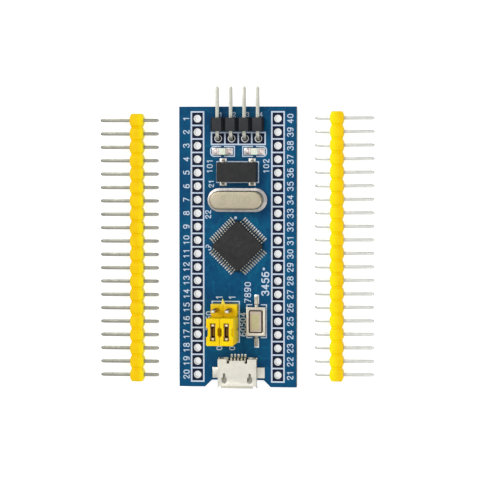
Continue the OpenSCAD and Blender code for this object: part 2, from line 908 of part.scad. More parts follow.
// A tab that leaves each side of the shell and lies on its pad
module usb_tabs() {
    for (s = [-1, 1]) scale([s, 1, 1]) {
        translate([usb_half - 0.2, usb_tab_y - usb_tab_l / 2, deck_z])
            cube([usb_tab_out - usb_half + 0.2, usb_tab_l, usb_skin]);
        translate([usb_half - usb_skin, usb_tab_y - usb_tab_l / 2, deck_z])
            cube([usb_skin, usb_tab_l, usb_knee + 0.3]);
        translate([usb_half - usb_skin, usb_back_y - 0.5, deck_z]) cube([usb_skin, 0.5, usb_knee + 0.3]);
    }
}

module usb_shell() {
    color("gainsboro") translate([usb_x, 0]) difference() {
        union() {
            along_y(usb_front_y, usb_back_y) difference() {
                usb_section(0);
                usb_section(usb_skin);
            }
            usb_lips();
            usb_tabs();
        }
        // the roof and the upper walls stop short of the back, and the sole makes room for the contacts
        translate([0, usb_roof_y + 2, deck_z]) slab(9, 4, 4, usb_knee + 0.15);
        translate([0, usb_roof_y, deck_z]) slab(3.4, 0.5, 1, usb_high - 0.5);
        translate([0, usb_back_y, deck_z]) slab(3.8, 1.6, 1, usb_skin + 0.01 - 1);
        // slots at the back of the roof, and the plug's two latch windows near the mouth
        for (s = [-1, 1]) {
            translate([s * 1.7, usb_roof_y - 0.35, deck_z + usb_high]) slab(0.5, 0.85, 1, -0.5);
            translate([s * 2.42, -24.2, deck_z + usb_high]) slab(0.42, 1.1, 1, -0.5);
            translate([s * 2.42, -24.9, deck_z + usb_high]) slab(0.98, 0.36, 1, -0.5);
            for (y = [-24.72, -25.08])
                translate([s * 2.42, y, deck_z + usb_high - 0.5]) cylinder(r = 0.49, h = 1);
        }
    }
}

module usb_contact_shapes() {
    line_z = deck_z + usb_tongue_low - 0.05;
    foot_z = deck_z + 0.06;
    ledge_z = foot_z + usb_ledge_h;
    for (i = [-2 : 2]) translate([i * usb_pin_pitch, 0, 0])
        bent_strip([[usb_front_y + 1.1, line_z], [usb_block_y - 0.35, line_z],
                    [usb_block_y - 0.1, ledge_z], [usb_foot_y - 0.45, ledge_z],
                    [usb_foot_y - 0.35, foot_z], [usb_foot_y, foot_z]], 0.12, 0.3);
}

module usb_insulator() {
    color([0.12, 0.12, 0.12]) translate([usb_x, 0]) difference() {
        union() {
            along_y(usb_block_y - usb_block, usb_block_y) usb_section(usb_skin);
            along_y(usb_block_y - 0.03, usb_foot_y - 0.5) translate([-1.75, 0]) square([3.5, usb_ledge_h]);
            translate([-usb_tongue_half, usb_front_y + 0.8, deck_z + usb_tongue_low])
                cube([2 * usb_tongue_half, usb_block_y - usb_front_y - usb_block,
                      usb_tongue_high - usb_tongue_low]);
        }
        usb_contact_shapes();
    }
}

module usb_contacts() {
    color("gold") translate([usb_x, 0, 0]) usb_contact_shapes();
}

// ---------------------------------------------------------------- parts on the underside

// Turned over, so that their height runs down from the board
module hung_below() {
    translate([0, 0, -pad_t]) mirror([0, 0, 1]) children();
}

module regulator_lead_places() {
    for (i = [-1 : 1]) translate([0, i * regulator_pitch, 0]) children();
    for (i = [-1, 1]) mirror([1, 0, 0]) translate([0, i * regulator_pitch, 0]) children();
}

module regulator_lead_shapes() {
    middle = (regulator_low + regulator_high) / 2;
    regulator_lead_places() rotate(-90)
        bent_strip([[0.6, middle], [1, middle], [1.1, 0.075], [regulator_foot, 0.075]], 0.15, 0.4);
}

module regulator_package() {
    color([0.15, 0.15, 0.16]) hung_below() translate([regulator_x, regulator_y, 0]) difference() {
        drafted_body(regulator_w, regulator_l, regulator_low, regulator_high, 0.07);
        regulator_lead_shapes();
    }
}

module regulator_leads() {
    color("silver") hung_below() translate([regulator_x, regulator_y, 0]) regulator_lead_shapes();
}

module each_chip(places) {
    hung_below() for (p = places) translate([p.x, p.y, 0]) rotate(p.z) children();
}

module chip_ends(h) {
    for (s = [-1, 1]) translate([s * (chip_l - chip_end) / 2, 0, 0]) slab(chip_end, chip_w, h);
}

module capacitor_bodies() {
    color("tan") each_chip(capacitor_places)
        slab(chip_l - 2 * chip_end, chip_w - 0.04, capacitor_h - 0.04, 0.02);
}

module capacitor_terminals() {
    color("silver") each_chip(capacitor_places) chip_ends(capacitor_h);
}

module resistor_substrates() {
    color("white") each_chip(resistor_places) slab(chip_l - 2 * chip_end, chip_w, resistor_h);
}

module resistor_coats() {
    color("black") each_chip(resistor_places)
        slab(chip_l - 2 * chip_end, chip_w - 0.06, resistor_coat_h, resistor_h);
}

module resistor_terminals() {
    color("silver") each_chip(resistor_places) chip_ends(resistor_h + 0.02);
}

// A joint: solder that fills the lower half of the hole and rises in a cone round the tail
module solder_cone(fill_r, foot_r, neck_r) {
    translate([0, 0, -pad_t]) cylinder(r = fill_r, h = board_t / 2);
    translate([0, 0, -0.85]) cylinder(r1 = neck_r, r2 = foot_r, h = 0.85 - pad_t);
}

module solder_joints() {
    color("silver") {
        each_pin_hole() difference() {
            solder_cone(hole_r - 0.02, 0.66, 0.48);
            slab(pin_side, pin_side, 4, -2);
        }
        each_crystal_hole() difference() {
            solder_cone(crystal_hole_r - 0.02, 0.56, 0.32);
            translate([0, 0, -2]) cylinder(r = crystal_lead_r, h = 4);
        }
    }
}

// ---------------------------------------------------------------- loose strips

// A strip that lies on its side with its long pins towards -X
module strip_lying() {
    rotate([0, -90, 0]) translate([0, 0, -housing_h / 2]) children();
}

// The two faces that the pins leave are waisted between positions
module strip_housing() {
    strip_lying() difference() {
        linear_extrude(housing_h) difference() {
            housing_outline(1, row_holes);
            pin_openings(1, row_holes);
        }
        for (i = [0 : row_holes], z = [0, 1]) translate([0, (i - row_holes / 2) * pitch, z * housing_h])
            mirror([0, 0, z]) rotate([90, 0, 90]) translate([0, 0, -pitch]) linear_extrude(2 * pitch)
                polygon([[-waist_half, -cut], [waist_half, -cut], [waist_half, 0], [0, waist_depth],
                         [-waist_half, 0]]);
    }
}

module strip_pins() {
    for (y = row_ys) translate([0, y, 0]) strip_lying()
        upright_pin(-strip_short_pin, housing_h + strip_long_pin);
}

module left_strip_at_place() {
    translate([-strip_left_x, strip_left_y, strip_z]) children();
}

module right_strip_at_place() {
    translate([strip_right_x, strip_right_y, strip_z]) rotate(180) children();
}

module left_strip_housing() {
    color("gold") left_strip_at_place() strip_housing();
}

module left_strip_pins() {
    color("silver") left_strip_at_place() strip_pins();
}

module right_strip_housing() {
    color("gold") right_strip_at_place() strip_housing();
}

module right_strip_pins() {
    color("silver") right_strip_at_place() strip_pins();
}

// ---------------------------------------------------------------- nodes

pcb_laminate();
solder_mask_top();
solder_mask_bottom();
silkscreen_top();
silkscreen_bottom();
header_hole_plating();
part_hole_plating();
smd_pads_top();
smd_pads_bottom();
mcu_package();
mcu_leads();
mcu_die();
mcu_die_paddle();
crystal_can();
crystal_base();
crystal_glass_seals();
crystal_leads();
crystal_spring_clips();
crystal_quartz_blank();
clock_crystal_package();
clock_crystal_leads();
clock_crystal_tube();
led_substrates();
led_lenses();
led_terminals();
led_chips();
reset_switch_base();
reset_switch_cover();
reset_switch_terminals();
reset_switch_dome();
reset_button();
boot_header_housing();
boot_header_pins();
left_jumper_cap();
left_jumper_clip();
right_jumper_cap();
right_jumper_clip();
debug_header_housing();
debug_header_pins();
usb_shell();
usb_insulator();
usb_contacts();
regulator_package();
regulator_leads();
capacitor_bodies();
capacitor_terminals();
resistor_substrates();
resistor_coats();
resistor_terminals();
solder_joints();
left_strip_housing();
left_strip_pins();
right_strip_housing();
right_strip_pins();
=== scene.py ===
"""Looks of the microcontroller dev board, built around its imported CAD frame. Lengths are in millimetres."""
import json
import math

import bmesh
import bpy
from mathutils import Matrix, Vector
from mathutils.geometry import delaunay_2d_cdt


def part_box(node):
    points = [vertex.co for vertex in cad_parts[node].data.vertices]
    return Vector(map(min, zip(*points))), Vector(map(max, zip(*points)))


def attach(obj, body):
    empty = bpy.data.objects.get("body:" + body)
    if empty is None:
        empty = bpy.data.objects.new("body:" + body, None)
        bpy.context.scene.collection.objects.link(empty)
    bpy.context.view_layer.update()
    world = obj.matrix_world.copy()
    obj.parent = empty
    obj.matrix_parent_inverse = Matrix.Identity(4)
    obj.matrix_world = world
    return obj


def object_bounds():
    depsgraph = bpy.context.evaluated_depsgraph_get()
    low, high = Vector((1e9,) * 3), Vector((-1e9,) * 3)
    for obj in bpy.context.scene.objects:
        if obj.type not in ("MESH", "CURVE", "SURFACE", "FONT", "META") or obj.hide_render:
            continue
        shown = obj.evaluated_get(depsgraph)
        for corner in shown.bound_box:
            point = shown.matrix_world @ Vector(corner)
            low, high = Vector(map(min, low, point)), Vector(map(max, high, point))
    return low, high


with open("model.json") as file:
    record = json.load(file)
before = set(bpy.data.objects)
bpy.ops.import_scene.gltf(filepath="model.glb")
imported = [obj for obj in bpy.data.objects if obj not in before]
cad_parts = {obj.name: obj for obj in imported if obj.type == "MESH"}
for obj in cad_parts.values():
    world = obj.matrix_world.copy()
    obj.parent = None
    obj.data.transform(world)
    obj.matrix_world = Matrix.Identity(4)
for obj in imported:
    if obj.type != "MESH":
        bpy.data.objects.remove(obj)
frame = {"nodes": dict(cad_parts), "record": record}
cad_low, cad_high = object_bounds()
nodes = frame["nodes"]
MM = 0.001
floor_z = cad_low.z

# Heights on the board: the mask's face and the ink's face, on both sides
mask_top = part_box("solder_mask_top")[1].z / MM
ink_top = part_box("silkscreen_top")[1].z / MM
mask_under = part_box("solder_mask_bottom")[0].z / MM
ink_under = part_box("silkscreen_bottom")[0].z / MM


def span(name):
    """A node's box in millimetres: its low corner, its high corner and its middle."""
    low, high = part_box(name)
    low, high = Vector(low) / MM, Vector(high) / MM
    return low, high, (low + high) / 2


PITCH = 2.54
ROW_X = 3 * PITCH
MCU = span("mcu_package")[2]
DEBUG_X = span("debug_header_housing")[2].x
DEBUG_Y = span("debug_header_pins")[0].y + 0.32
USB_X = span("usb_shell")[2].x
RESET = span("reset_switch_cover")[2]


# ---------------------------------------------------------------- material helpers

class Paint:
    """A node material with a Principled shader and short calls for its nodes. Noise is in millimetres."""

    def __init__(self, name, **sockets):
        self.material = bpy.data.materials.new(name)
        self.material.use_nodes = True
        self.tree = self.material.node_tree
        self.shader = self.tree.nodes["Principled BSDF"]
        coordinates = self.node("ShaderNodeTexCoord")
        scale = self.node("ShaderNodeVectorMath", operation="SCALE")
        scale.inputs["Scale"].default_value = 1 / MM
        self.link(coordinates.outputs["Object"], scale.inputs[0])
        self.mm = scale.outputs[0]
        self.heights = []
        for socket, value in sockets.items():
            self.set(socket.replace("_", " "), value)

    def node(self, kind, **settings):
        made = self.tree.nodes.new(kind)
        for key, value in settings.items():
            setattr(made, key, value)
        return made

    def link(self, a, b):
        self.tree.links.new(a, b)

    def set(self, socket, value):
        names = {s.name.lower(): s for s in self.shader.inputs}
        target = names[socket.lower()]
        if isinstance(value, bpy.types.NodeSocket):
            self.link(value, target)
        elif isinstance(value, (tuple, list)) and len(value) == 3:
            target.default_value = (*value, 1)
        else:
            target.default_value = value

    def stretched(self, x, y, z):
        multiply = self.node("ShaderNodeVectorMath", operation="MULTIPLY")
        self.link(self.mm, multiply.inputs[0])
        multiply.inputs[1].default_value = (x, y, z)
        return multiply.outputs[0]

    def noise(self, size, detail=3, roughness=0.55, vector=None, distortion=0):
        n = self.node("ShaderNodeTexNoise")
        n.inputs["Scale"].default_value = 1 / size
        n.inputs["Detail"].default_value = detail
        n.inputs["Roughness"].default_value = roughness
        n.inputs["Distortion"].default_value = distortion
        self.link(vector or self.mm, n.inputs["Vector"])
        return n.outputs["Fac"]

    def cells(self, size, vector=None):
        n = self.node("ShaderNodeTexVoronoi")
        n.inputs["Scale"].default_value = 1 / size
        self.link(vector or self.mm, n.inputs["Vector"])
        return n.outputs["Distance"]

    def remap(self, value, low, high, to_low=0, to_high=1):
        n = self.node("ShaderNodeMapRange")
        self.link(value, n.inputs["Value"])
        for name, number in (("From Min", low), ("From Max", high), ("To Min", to_low), ("To Max", to_high)):
            n.inputs[name].default_value = number
        return n.outputs["Result"]

    def maths(self, operation, a, b=None):
        n = self.node("ShaderNodeMath", operation=operation)
        for i, value in enumerate((a, b)):
            if isinstance(value, bpy.types.NodeSocket):
                self.link(value, n.inputs[i])
            elif value is not None:
                n.inputs[i].default_value = value
        return n.outputs[0]

    def mix(self, share, a, b, blend="MIX"):
        n = self.node("ShaderNodeMix", data_type="RGBA", blend_type=blend)
        for value, socket in ((share, n.inputs[0]), (a, n.inputs[6]), (b, n.inputs[7])):
            if isinstance(value, bpy.types.NodeSocket):
                self.link(value, socket)
            elif isinstance(value, (tuple, list)):
                socket.default_value = (*value, 1)
            else:
                socket.default_value = value
        return n.outputs[2]

    def parts(self):
        n = self.node("ShaderNodeSeparateXYZ")
        self.link(self.mm, n.inputs[0])
        return n.outputs

    def base(self):
        """What feeds the base colour so far."""
        return self.shader.inputs["Base Color"].links[0].from_socket

    def bump(self, height, depth):
        n = self.node("ShaderNodeBump")
        n.inputs["Distance"].default_value = depth * MM
        self.link(height, n.inputs["Height"])
        if self.heights:
            self.link(self.heights[-1], n.inputs["Normal"])
        self.heights.append(n.outputs["Normal"])
        self.set("Normal", n.outputs["Normal"])


def plastic(name, colour, shade, roughness=0.4, grain=0.05, depth=0.006, **sockets):
    """Moulded plastic: a cloudy colour, fine grain from the mould and faint flow marks."""
    p = Paint(name, **sockets)
    cloud = p.remap(p.noise(1.6, 4), 0.35, 0.7)
    speck = p.remap(p.noise(0.09, 2), 0.3, 0.75)
    base = p.mix(cloud, colour, shade)
    p.set("Base Color", p.mix(p.maths("MULTIPLY", speck, 0.25), base, shade))
    p.set("Roughness", p.remap(p.noise(0.7, 5), 0.3, 0.7, roughness - 0.07, roughness + 0.1))
    p.bump(p.noise(grain, 3), depth)
    p.bump(p.noise(1.3, 2, vector=p.stretched(1, 0.35, 1)), depth * 1.5)
    return p


def metal(name, colour, tint, roughness=0.3, brush=(1, 1, 1), depth=0.004, **sockets):
    """Plated sheet or wire: a tint that drifts, smudged roughness and drawing marks along one way."""
    p = Paint(name, Metallic=1.0, **sockets)
    drift = p.remap(p.noise(1.1, 4, distortion=0.6), 0.35, 0.7)
    p.set("Base Color", p.mix(drift, colour, tint))
    smudge = p.noise(0.45, 5, 0.65)
    p.set("Roughness", p.remap(smudge, 0.3, 0.72, roughness - 0.08, roughness + 0.14))
    p.bump(p.noise(0.12, 4, 0.6, vector=p.stretched(*brush)), depth)
    return p


def darken_below(paint, colour, low, high):
    """Brings in a darker colour between two heights, from high down to low."""
    paint.set("Base Color", paint.mix(paint.remap(paint.parts()[2], low, high), colour, paint.base()))


def shade_inside_holes(paint):
    """Paints a dark brown shade on what lies inside the board's holes, between its two faces."""
    z = paint.parts()[2]
    inside = paint.maths("MULTIPLY", paint.remap(z, mask_top - 0.03, mask_top - 0.2),
                         paint.maths("GREATER_THAN", z, mask_under + 0.1))
    paint.set("Base Color", paint.mix(inside, paint.base(), (0.035, 0.024, 0.014)))


def gap_between(paint, a, b):
    """The distance between two values along one axis."""
    return paint.maths("ABSOLUTE", paint.maths("SUBTRACT", a, b))


# ---------------------------------------------------------------- materials

def make_mask(name, over_copper):
    p = Paint(name, Specular_IOR_Level=0.1)
    deep, teal, navy = (0.0, 0.056, 0.148), (0.0, 0.082, 0.180), (0.0, 0.034, 0.112)
    if over_copper:
        deep, teal, navy = (0.0, 0.078, 0.175), (0.0, 0.106, 0.208), (0.0, 0.052, 0.132)
    broad = p.remap(p.noise(5.5, 3, 0.5, distortion=0.8), 0.36, 0.66)
    pooled = p.remap(p.noise(1.9, 5, 0.6), 0.45, 0.72)
    base = p.mix(broad, deep, teal)
    base = p.mix(p.maths("MULTIPLY", pooled, 0.55), base, navy)
    x, y = p.parts()[0], p.parts()[1]
    if not over_copper:
        # no copper under the mask round the plated holes, so the dark laminate shows through
        from_row = gap_between(p, p.maths("ABSOLUTE", x), ROW_X)
        in_row = p.maths("MULTIPLY", p.maths("LESS_THAN", from_row, 1.13),
                         p.maths("LESS_THAN", p.maths("ABSOLUTE", y), 25.3))
        in_pins = p.maths("MULTIPLY", p.maths("LESS_THAN", gap_between(p, y, DEBUG_Y), 1.05),
                          p.maths("LESS_THAN", gap_between(p, x, DEBUG_X), 5.05))
        base = p.mix(p.maths("MAXIMUM", in_row, in_pins), base, (0.004, 0.009, 0.035))
    p.set("Base Color", base)
    p.set("Roughness", p.remap(p.noise(0.8, 4), 0.3, 0.7, 0.24, 0.4))
    p.bump(p.noise(0.35, 3), 0.006)
    weave = p.maths("MULTIPLY", p.maths("SINE", p.maths("MULTIPLY", x, 9.0)),
                    p.maths("SINE", p.maths("MULTIPLY", y, 9.0)))
    p.bump(weave, 0.0025)
    return p


mask_paint = make_mask("solder_mask_blue", False)
trace_paint = make_mask("solder_mask_over_copper", True)

laminate_paint = Paint("glass_fibre_laminate", Specular_IOR_Level=0.4)
lp = laminate_paint
layers = lp.remap(lp.noise(0.16, 3, vector=lp.stretched(0.12, 0.12, 1)), 0.35, 0.65)
threads = lp.remap(lp.cells(0.34, lp.stretched(1, 1, 2.2)), 0.1, 0.6)
edge = lp.mix(layers, (0.07, 0.085, 0.075), (0.13, 0.14, 0.11))
lp.set("Base Color", lp.mix(lp.maths("MULTIPLY", threads, 0.5), edge, (0.04, 0.055, 0.055)))
lp.set("Roughness", lp.remap(layers, 0, 1, 0.55, 0.8))
lp.bump(layers, 0.02)

ink_paint = Paint("white_ink", Specular_IOR_Level=0.3)
ip = ink_paint
ip.set("Base Color", ip.mix(ip.remap(ip.noise(0.3, 4), 0.35, 0.75), (0.58, 0.66, 0.76), (0.44, 0.54, 0.67)))
ip.set("Roughness", ip.remap(ip.noise(0.5, 3), 0.3, 0.7, 0.5, 0.7))
ip.bump(ip.noise(0.06, 3), 0.006)

tin_paint = metal("tinned_copper", (0.76, 0.76, 0.73), (0.64, 0.64, 0.62), 0.36, depth=0.003)
solder_paint = metal("solder", (0.66, 0.64, 0.61), (0.55, 0.53, 0.51), 0.34, depth=0.002)
lead_paint = metal("tinned_lead", (0.36, 0.335, 0.275), (0.28, 0.26, 0.215), 0.42, depth=0.002)
end_paint = metal("tinned_end", (0.76, 0.68, 0.65), (0.66, 0.57, 0.55), 0.5, depth=0.003)
pin_paint = metal("tinned_pin", (0.60, 0.58, 0.49), (0.46, 0.44, 0.37), 0.28, brush=(0.15, 1, 1), depth=0.002)
# painted light and shade: the two strips' pins are one tinned metal in two copies, the left strip's painted
# darker as if in shade and the right strip's painted lighter as if lit
left_pin_shaded_paint = metal("tinned_pin_painted_shade", (0.35, 0.345, 0.29), (0.29, 0.285, 0.24), 0.46, brush=(0.15, 1, 1),
                       depth=0.001)
right_pin_lit_paint = metal("tinned_pin_painted_light", (0.66, 0.66, 0.62), (0.58, 0.58, 0.54), 0.46, brush=(0.15, 1, 1),
                        depth=0.001)
# painted shade: the long pins are painted darker than the other tinned pins, to hold down their bright
# reflection of the floor
debug_pin_paint = metal("tinned_pin_long", (0.50, 0.495, 0.435), (0.43, 0.425, 0.37), 0.44,
                        brush=(1, 0.15, 1), depth=0.001)
socket_paint = metal("nickel_shell", (0.71, 0.69, 0.61), (0.66, 0.64, 0.565), 0.52, brush=(1, 0.1, 1),
                     depth=0.003)
contact_paint = metal("gold_contact", (0.42, 0.41, 0.32), (0.34, 0.32, 0.24), 0.42)
cover_paint = metal("switch_cover", (0.66, 0.61, 0.51), (0.57, 0.52, 0.44), 0.38, brush=(1, 0.2, 1),
                    depth=0.002)
# painted light: the clip metal is painted brown, standing in for the yellow-brown light and shade inside the
# caps
spring_painted_light_paint = metal("spring_metal", (0.42, 0.29, 0.13), (0.33, 0.21, 0.09), 0.46, brush=(1, 1, 0.15))
copper_paint = metal("bare_copper", (0.72, 0.4, 0.28), (0.6, 0.3, 0.2), 0.35)
barrel_paint = metal("tinned_barrel", (0.76, 0.76, 0.73), (0.64, 0.64, 0.62), 0.36, depth=0.003)
joint_paint = metal("solder_joint", (0.66, 0.64, 0.61), (0.55, 0.53, 0.51), 0.34, depth=0.002)
# painted shade: the barrels and the joints are painted dark brown inside the board's holes
shade_inside_holes(barrel_paint)
shade_inside_holes(joint_paint)
# painted shade: the long pins are painted darker and browner towards the board and inside its holes
darken_below(debug_pin_paint, (0.10, 0.065, 0.035), mask_top - 0.1, mask_top + 0.75)

# the pads round the controller are painted darker than the other pads
pad_paint = metal("tinned_pad", (0.76, 0.76, 0.73), (0.64, 0.64, 0.62), 0.36, depth=0.003)
pp = pad_paint
away_x, away_y = (pp.maths("POWER", pp.maths("SUBTRACT", pp.parts()[i], MCU[i]), 2.0) for i in (0, 1))
from_mcu = pp.maths("ADD", away_x, away_y)
pp.set("Base Color", pp.mix(pp.remap(from_mcu, 40, 60), (0.40, 0.415, 0.42), pp.base()))

# painted reflection: the boot header's pins are painted warm, and yellow-brown lower down, for the yellow
# plastic that they stand in and mirror
boot_pin_paint = metal("tinned_pin_painted_reflection", (0.86, 0.82, 0.70), (0.74, 0.68, 0.54), 0.4, depth=0.001)
darken_below(boot_pin_paint, (0.44, 0.27, 0.03), span("boot_header_pins")[1].z - 1.6,
             span("boot_header_pins")[1].z - 0.45)

crystal_paint = Paint("crystal_metal", Metallic=1.0)
cp = crystal_paint
champagne = cp.mix(cp.remap(cp.noise(2.6, 3, distortion=0.5), 0.35, 0.7), (0.42, 0.38, 0.27),
                   (0.46, 0.40, 0.30))
silver = cp.mix(cp.remap(cp.noise(0.9, 3), 0.35, 0.7), (0.48, 0.455, 0.43), (0.36, 0.345, 0.345))
cp.set("Base Color", cp.mix(cp.remap(cp.parts()[2], ink_top + 0.62, ink_top + 1.5), silver, champagne))
cp.set("Roughness", cp.remap(cp.noise(0.8, 3), 0.3, 0.7, 0.37, 0.45))
cp.bump(cp.noise(0.1, 4, vector=cp.stretched(0.12, 1, 1)), 0.003)
cp.bump(cp.noise(1.8, 2), 0.02)

yellow_paint = plastic("yellow_plastic", (0.86, 0.60, 0.0), (0.78, 0.50, 0.0), 0.42, Specular_IOR_Level=0.1)
# thin plastic lets light through, so the burr is paler than the housing that it grows from
boot_paint = plastic("yellow_plastic_boot", (0.90, 0.62, 0.0), (0.82, 0.52, 0.0), 0.42,
                     Specular_IOR_Level=0.1)
burr_tip = span("boot_header_housing")[1].y
past_edge = boot_paint.remap(boot_paint.parts()[1], burr_tip - 1.5, burr_tip)
boot_paint.set("Base Color", boot_paint.mix(past_edge, boot_paint.base(), (0.90, 0.86, 0.20)))
cap_paint = plastic("yellow_plastic_cap", (0.95, 0.68, 0.0), (0.88, 0.58, 0.0), 0.38, Specular_IOR_Level=0.12,
                    Subsurface_Weight=0.3, Subsurface_Scale=0.9 * MM)
# the strips' plastic is paler towards the face that the short pins leave
strip_paint = plastic("yellow_plastic_strip", (0.90, 0.60, 0.0), (0.84, 0.52, 0.0), 0.42,
                      Specular_IOR_Level=0.1)
sp = strip_paint
from_middle = sp.maths("ABSOLUTE", sp.parts()[0])
strip_x = span("right_strip_housing")[2].x
wander = sp.remap(sp.noise(2.2, 3), 0, 1, -0.35, 0.35)
paler = sp.remap(sp.maths("ADD", from_middle, wander), strip_x + 0.6, strip_x - 0.9)
sp.set("Base Color", sp.mix(paler, sp.base(), (0.92, 0.79, 0.0)))
black_paint = plastic("black_plastic", (0.027, 0.027, 0.03), (0.018, 0.018, 0.02), 0.45,
                      Specular_IOR_Level=0.14)
# painted shade: the debug header is painted darker below its tops, in its grooves, where shade falls
header_paint = plastic("black_header", (0.036, 0.038, 0.042), (0.028, 0.03, 0.033), 0.45,
                       Specular_IOR_Level=0.14)
hp = header_paint
header_top = span("debug_header_housing")[1].z
groove_shade_share = hp.remap(hp.parts()[2], header_top - 0.12, header_top - 0.01)
hp.set("Base Color", hp.mix(groove_shade_share, (0.006, 0.007, 0.01), hp.base()))
mould_paint = plastic("moulding_compound", (0.032, 0.032, 0.032), (0.022, 0.022, 0.022), 0.55, grain=0.035,
                      depth=0.008, Specular_IOR_Level=0.14)
switch_paint = plastic("switch_plastic", (0.035, 0.03, 0.028), (0.02, 0.018, 0.016), 0.5,
                       Specular_IOR_Level=0.2)

button_paint = Paint("button_plastic", Specular_IOR_Level=0.2)
bp = button_paint
bz = bp.parts()[2]
button_top = span("reset_button")[1].z
cover_top = span("reset_switch_cover")[1].z
cream = bp.mix(bp.remap(bp.noise(0.8, 4), 0.35, 0.7), (0.60, 0.50, 0.42), (0.52, 0.43, 0.35))
olive = bp.mix(bp.remap(bp.noise(0.6, 4), 0.35, 0.7), (0.50, 0.46, 0.26), (0.44, 0.41, 0.23))
sides = bp.mix(bp.remap(bz, button_top - 0.07, button_top - 0.04), cream, olive)
# painted shade: the button is painted near-black below the cover's top, where it stands in the cover's hole
bp.set("Base Color", bp.mix(bp.remap(bz, cover_top - 0.12, cover_top - 0.02), (0.06, 0.045, 0.035), sides))
bp.set("Roughness", bp.remap(bp.noise(0.4, 4), 0.3, 0.7, 0.34, 0.5))
bp.bump(bp.noise(0.08, 3), 0.004)

led_resin_paint = plastic("led_resin", (0.84, 0.88, 0.76), (0.78, 0.85, 0.70), 0.3, depth=0.004,
                          Transmission_Weight=0.12, IOR=1.5, Subsurface_Weight=0.3, Subsurface_Scale=0.3 * MM)
ceramic_paint = plastic("led_ceramic", (0.78, 0.80, 0.72), (0.68, 0.7, 0.62), 0.55)
led_chip_paint = plastic("led_chip", (0.35, 0.6, 0.25), (0.6, 0.55, 0.2), 0.3)
capacitor_paint = plastic("capacitor_ceramic", (0.36, 0.22, 0.12), (0.28, 0.17, 0.09), 0.55)
resistor_paint = plastic("resistor_ceramic", (0.75, 0.76, 0.78), (0.65, 0.66, 0.68), 0.5)
glaze_paint = plastic("resistor_glaze", (0.02, 0.02, 0.023), (0.03, 0.03, 0.03), 0.25)
silicon_paint = plastic("silicon", (0.12, 0.12, 0.15), (0.09, 0.09, 0.12), 0.15)
seal_paint = plastic("seal_glass", (0.16, 0.24, 0.2), (0.1, 0.17, 0.15), 0.2)
quartz_paint = plastic("quartz", (0.8, 0.83, 0.86), (0.7, 0.74, 0.8), 0.1, Transmission_Weight=0.6, IOR=1.54)

paint_of_slot = {
    "laminate": laminate_paint, "solder_mask": mask_paint, "ink": ink_paint, "tinned_copper": tin_paint,
    "solder": solder_paint, "moulding_compound": mould_paint, "tinned_lead": lead_paint,
    "silicon": silicon_paint, "bare_copper": copper_paint, "crystal_metal": crystal_paint,
    "seal_glass": seal_paint,
    "spring_metal": spring_painted_light_paint, "quartz": quartz_paint, "tube_metal": socket_paint,
    "led_ceramic": ceramic_paint, "led_resin": led_resin_paint, "led_chip": led_chip_paint,
    "switch_plastic": switch_paint, "switch_cover_metal": cover_paint, "button_plastic": button_paint,
    "yellow_plastic": yellow_paint, "black_plastic": black_paint, "pin_metal": pin_paint,
    "socket_metal": socket_paint, "contact_gold": contact_paint, "capacitor_ceramic": capacitor_paint,
    "resistor_ceramic": resistor_paint, "resistor_glaze": glaze_paint,
}
slot_of_node = {s["node"]: s["material_slot"] for s in frame["record"]["subparts"]}


def cover_with(obj, paint):
    obj.data.materials.clear()
    obj.data.materials.append(paint.material)


# nodes whose look differs from the rest of their material slot
paint_of_node = {
    "debug_header_pins": debug_pin_paint, "left_strip_pins": left_pin_shaded_paint,
    "right_strip_pins": right_pin_lit_paint,
    "left_jumper_cap": cap_paint, "right_jumper_cap": cap_paint,
    "left_strip_housing": strip_paint, "right_strip_housing": strip_paint,
    "debug_header_housing": header_paint,
    "led_terminals": end_paint, "part_hole_plating": barrel_paint, "smd_pads_top": pad_paint,
    "solder_joints": joint_paint, "boot_header_pins": boot_pin_paint, "boot_header_housing": boot_paint,
}
for name, obj in nodes.items():
    cover_with(obj, paint_of_node.get(name, paint_of_slot[slot_of_node[name]]))


# ---------------------------------------------------------------- softened edges on the CAD nodes

def smooth_group():
    """A node group that shades faces smooth and keeps sharp the edges that turn by more than 35 degrees."""
    g = bpy.data.node_groups.new("smooth_by_angle", "GeometryNodeTree")
    g.interface.new_socket("Geometry", in_out="INPUT", socket_type="NodeSocketGeometry")
    g.interface.new_socket("Geometry", in_out="OUTPUT", socket_type="NodeSocketGeometry")
    source, sink = g.nodes.new("NodeGroupInput"), g.nodes.new("NodeGroupOutput")
    drop = g.nodes.new("GeometryNodeRemoveAttribute")
    drop.inputs["Name"].default_value = "custom_normal"
    faces = g.nodes.new("GeometryNodeSetShadeSmooth")
    edges = g.nodes.new("GeometryNodeSetShadeSmooth")
    edges.domain = "EDGE"
    edges.inputs["Shade Smooth"].default_value = False
    angle = g.nodes.new("GeometryNodeInputMeshEdgeAngle")
    compare = g.nodes.new("FunctionNodeCompare")
    compare.operation = "GREATER_THAN"
    compare.inputs[1].default_value = math.radians(35)
    g.links.new(source.outputs[0], drop.inputs["Geometry"])
    g.links.new(drop.outputs["Geometry"], faces.inputs["Geometry"])
    g.links.new(faces.outputs["Geometry"], edges.inputs["Geometry"])
    g.links.new(angle.outputs["Unsigned Angle"], compare.inputs[0])
    g.links.new(compare.outputs[0], edges.inputs["Selection"])
    g.links.new(edges.outputs["Geometry"], sink.inputs[0])
    return g


smoothing = smooth_group()


def soften(obj, width, segments=2, angle=40):
    """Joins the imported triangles, rounds the sharp edges by width and shades the result."""
    weld = obj.modifiers.new("join", "WELD")
    weld.merge_threshold = 2e-7
    bevel = obj.modifiers.new("round", "BEVEL")
    bevel.width = width * MM
    bevel.segments = segments
    bevel.limit_method = "ANGLE"
    bevel.angle_limit = math.radians(angle)
    bevel.use_clamp_overlap = True
    shade = obj.modifiers.new("shade", "NODES")
    shade.node_group = smoothing


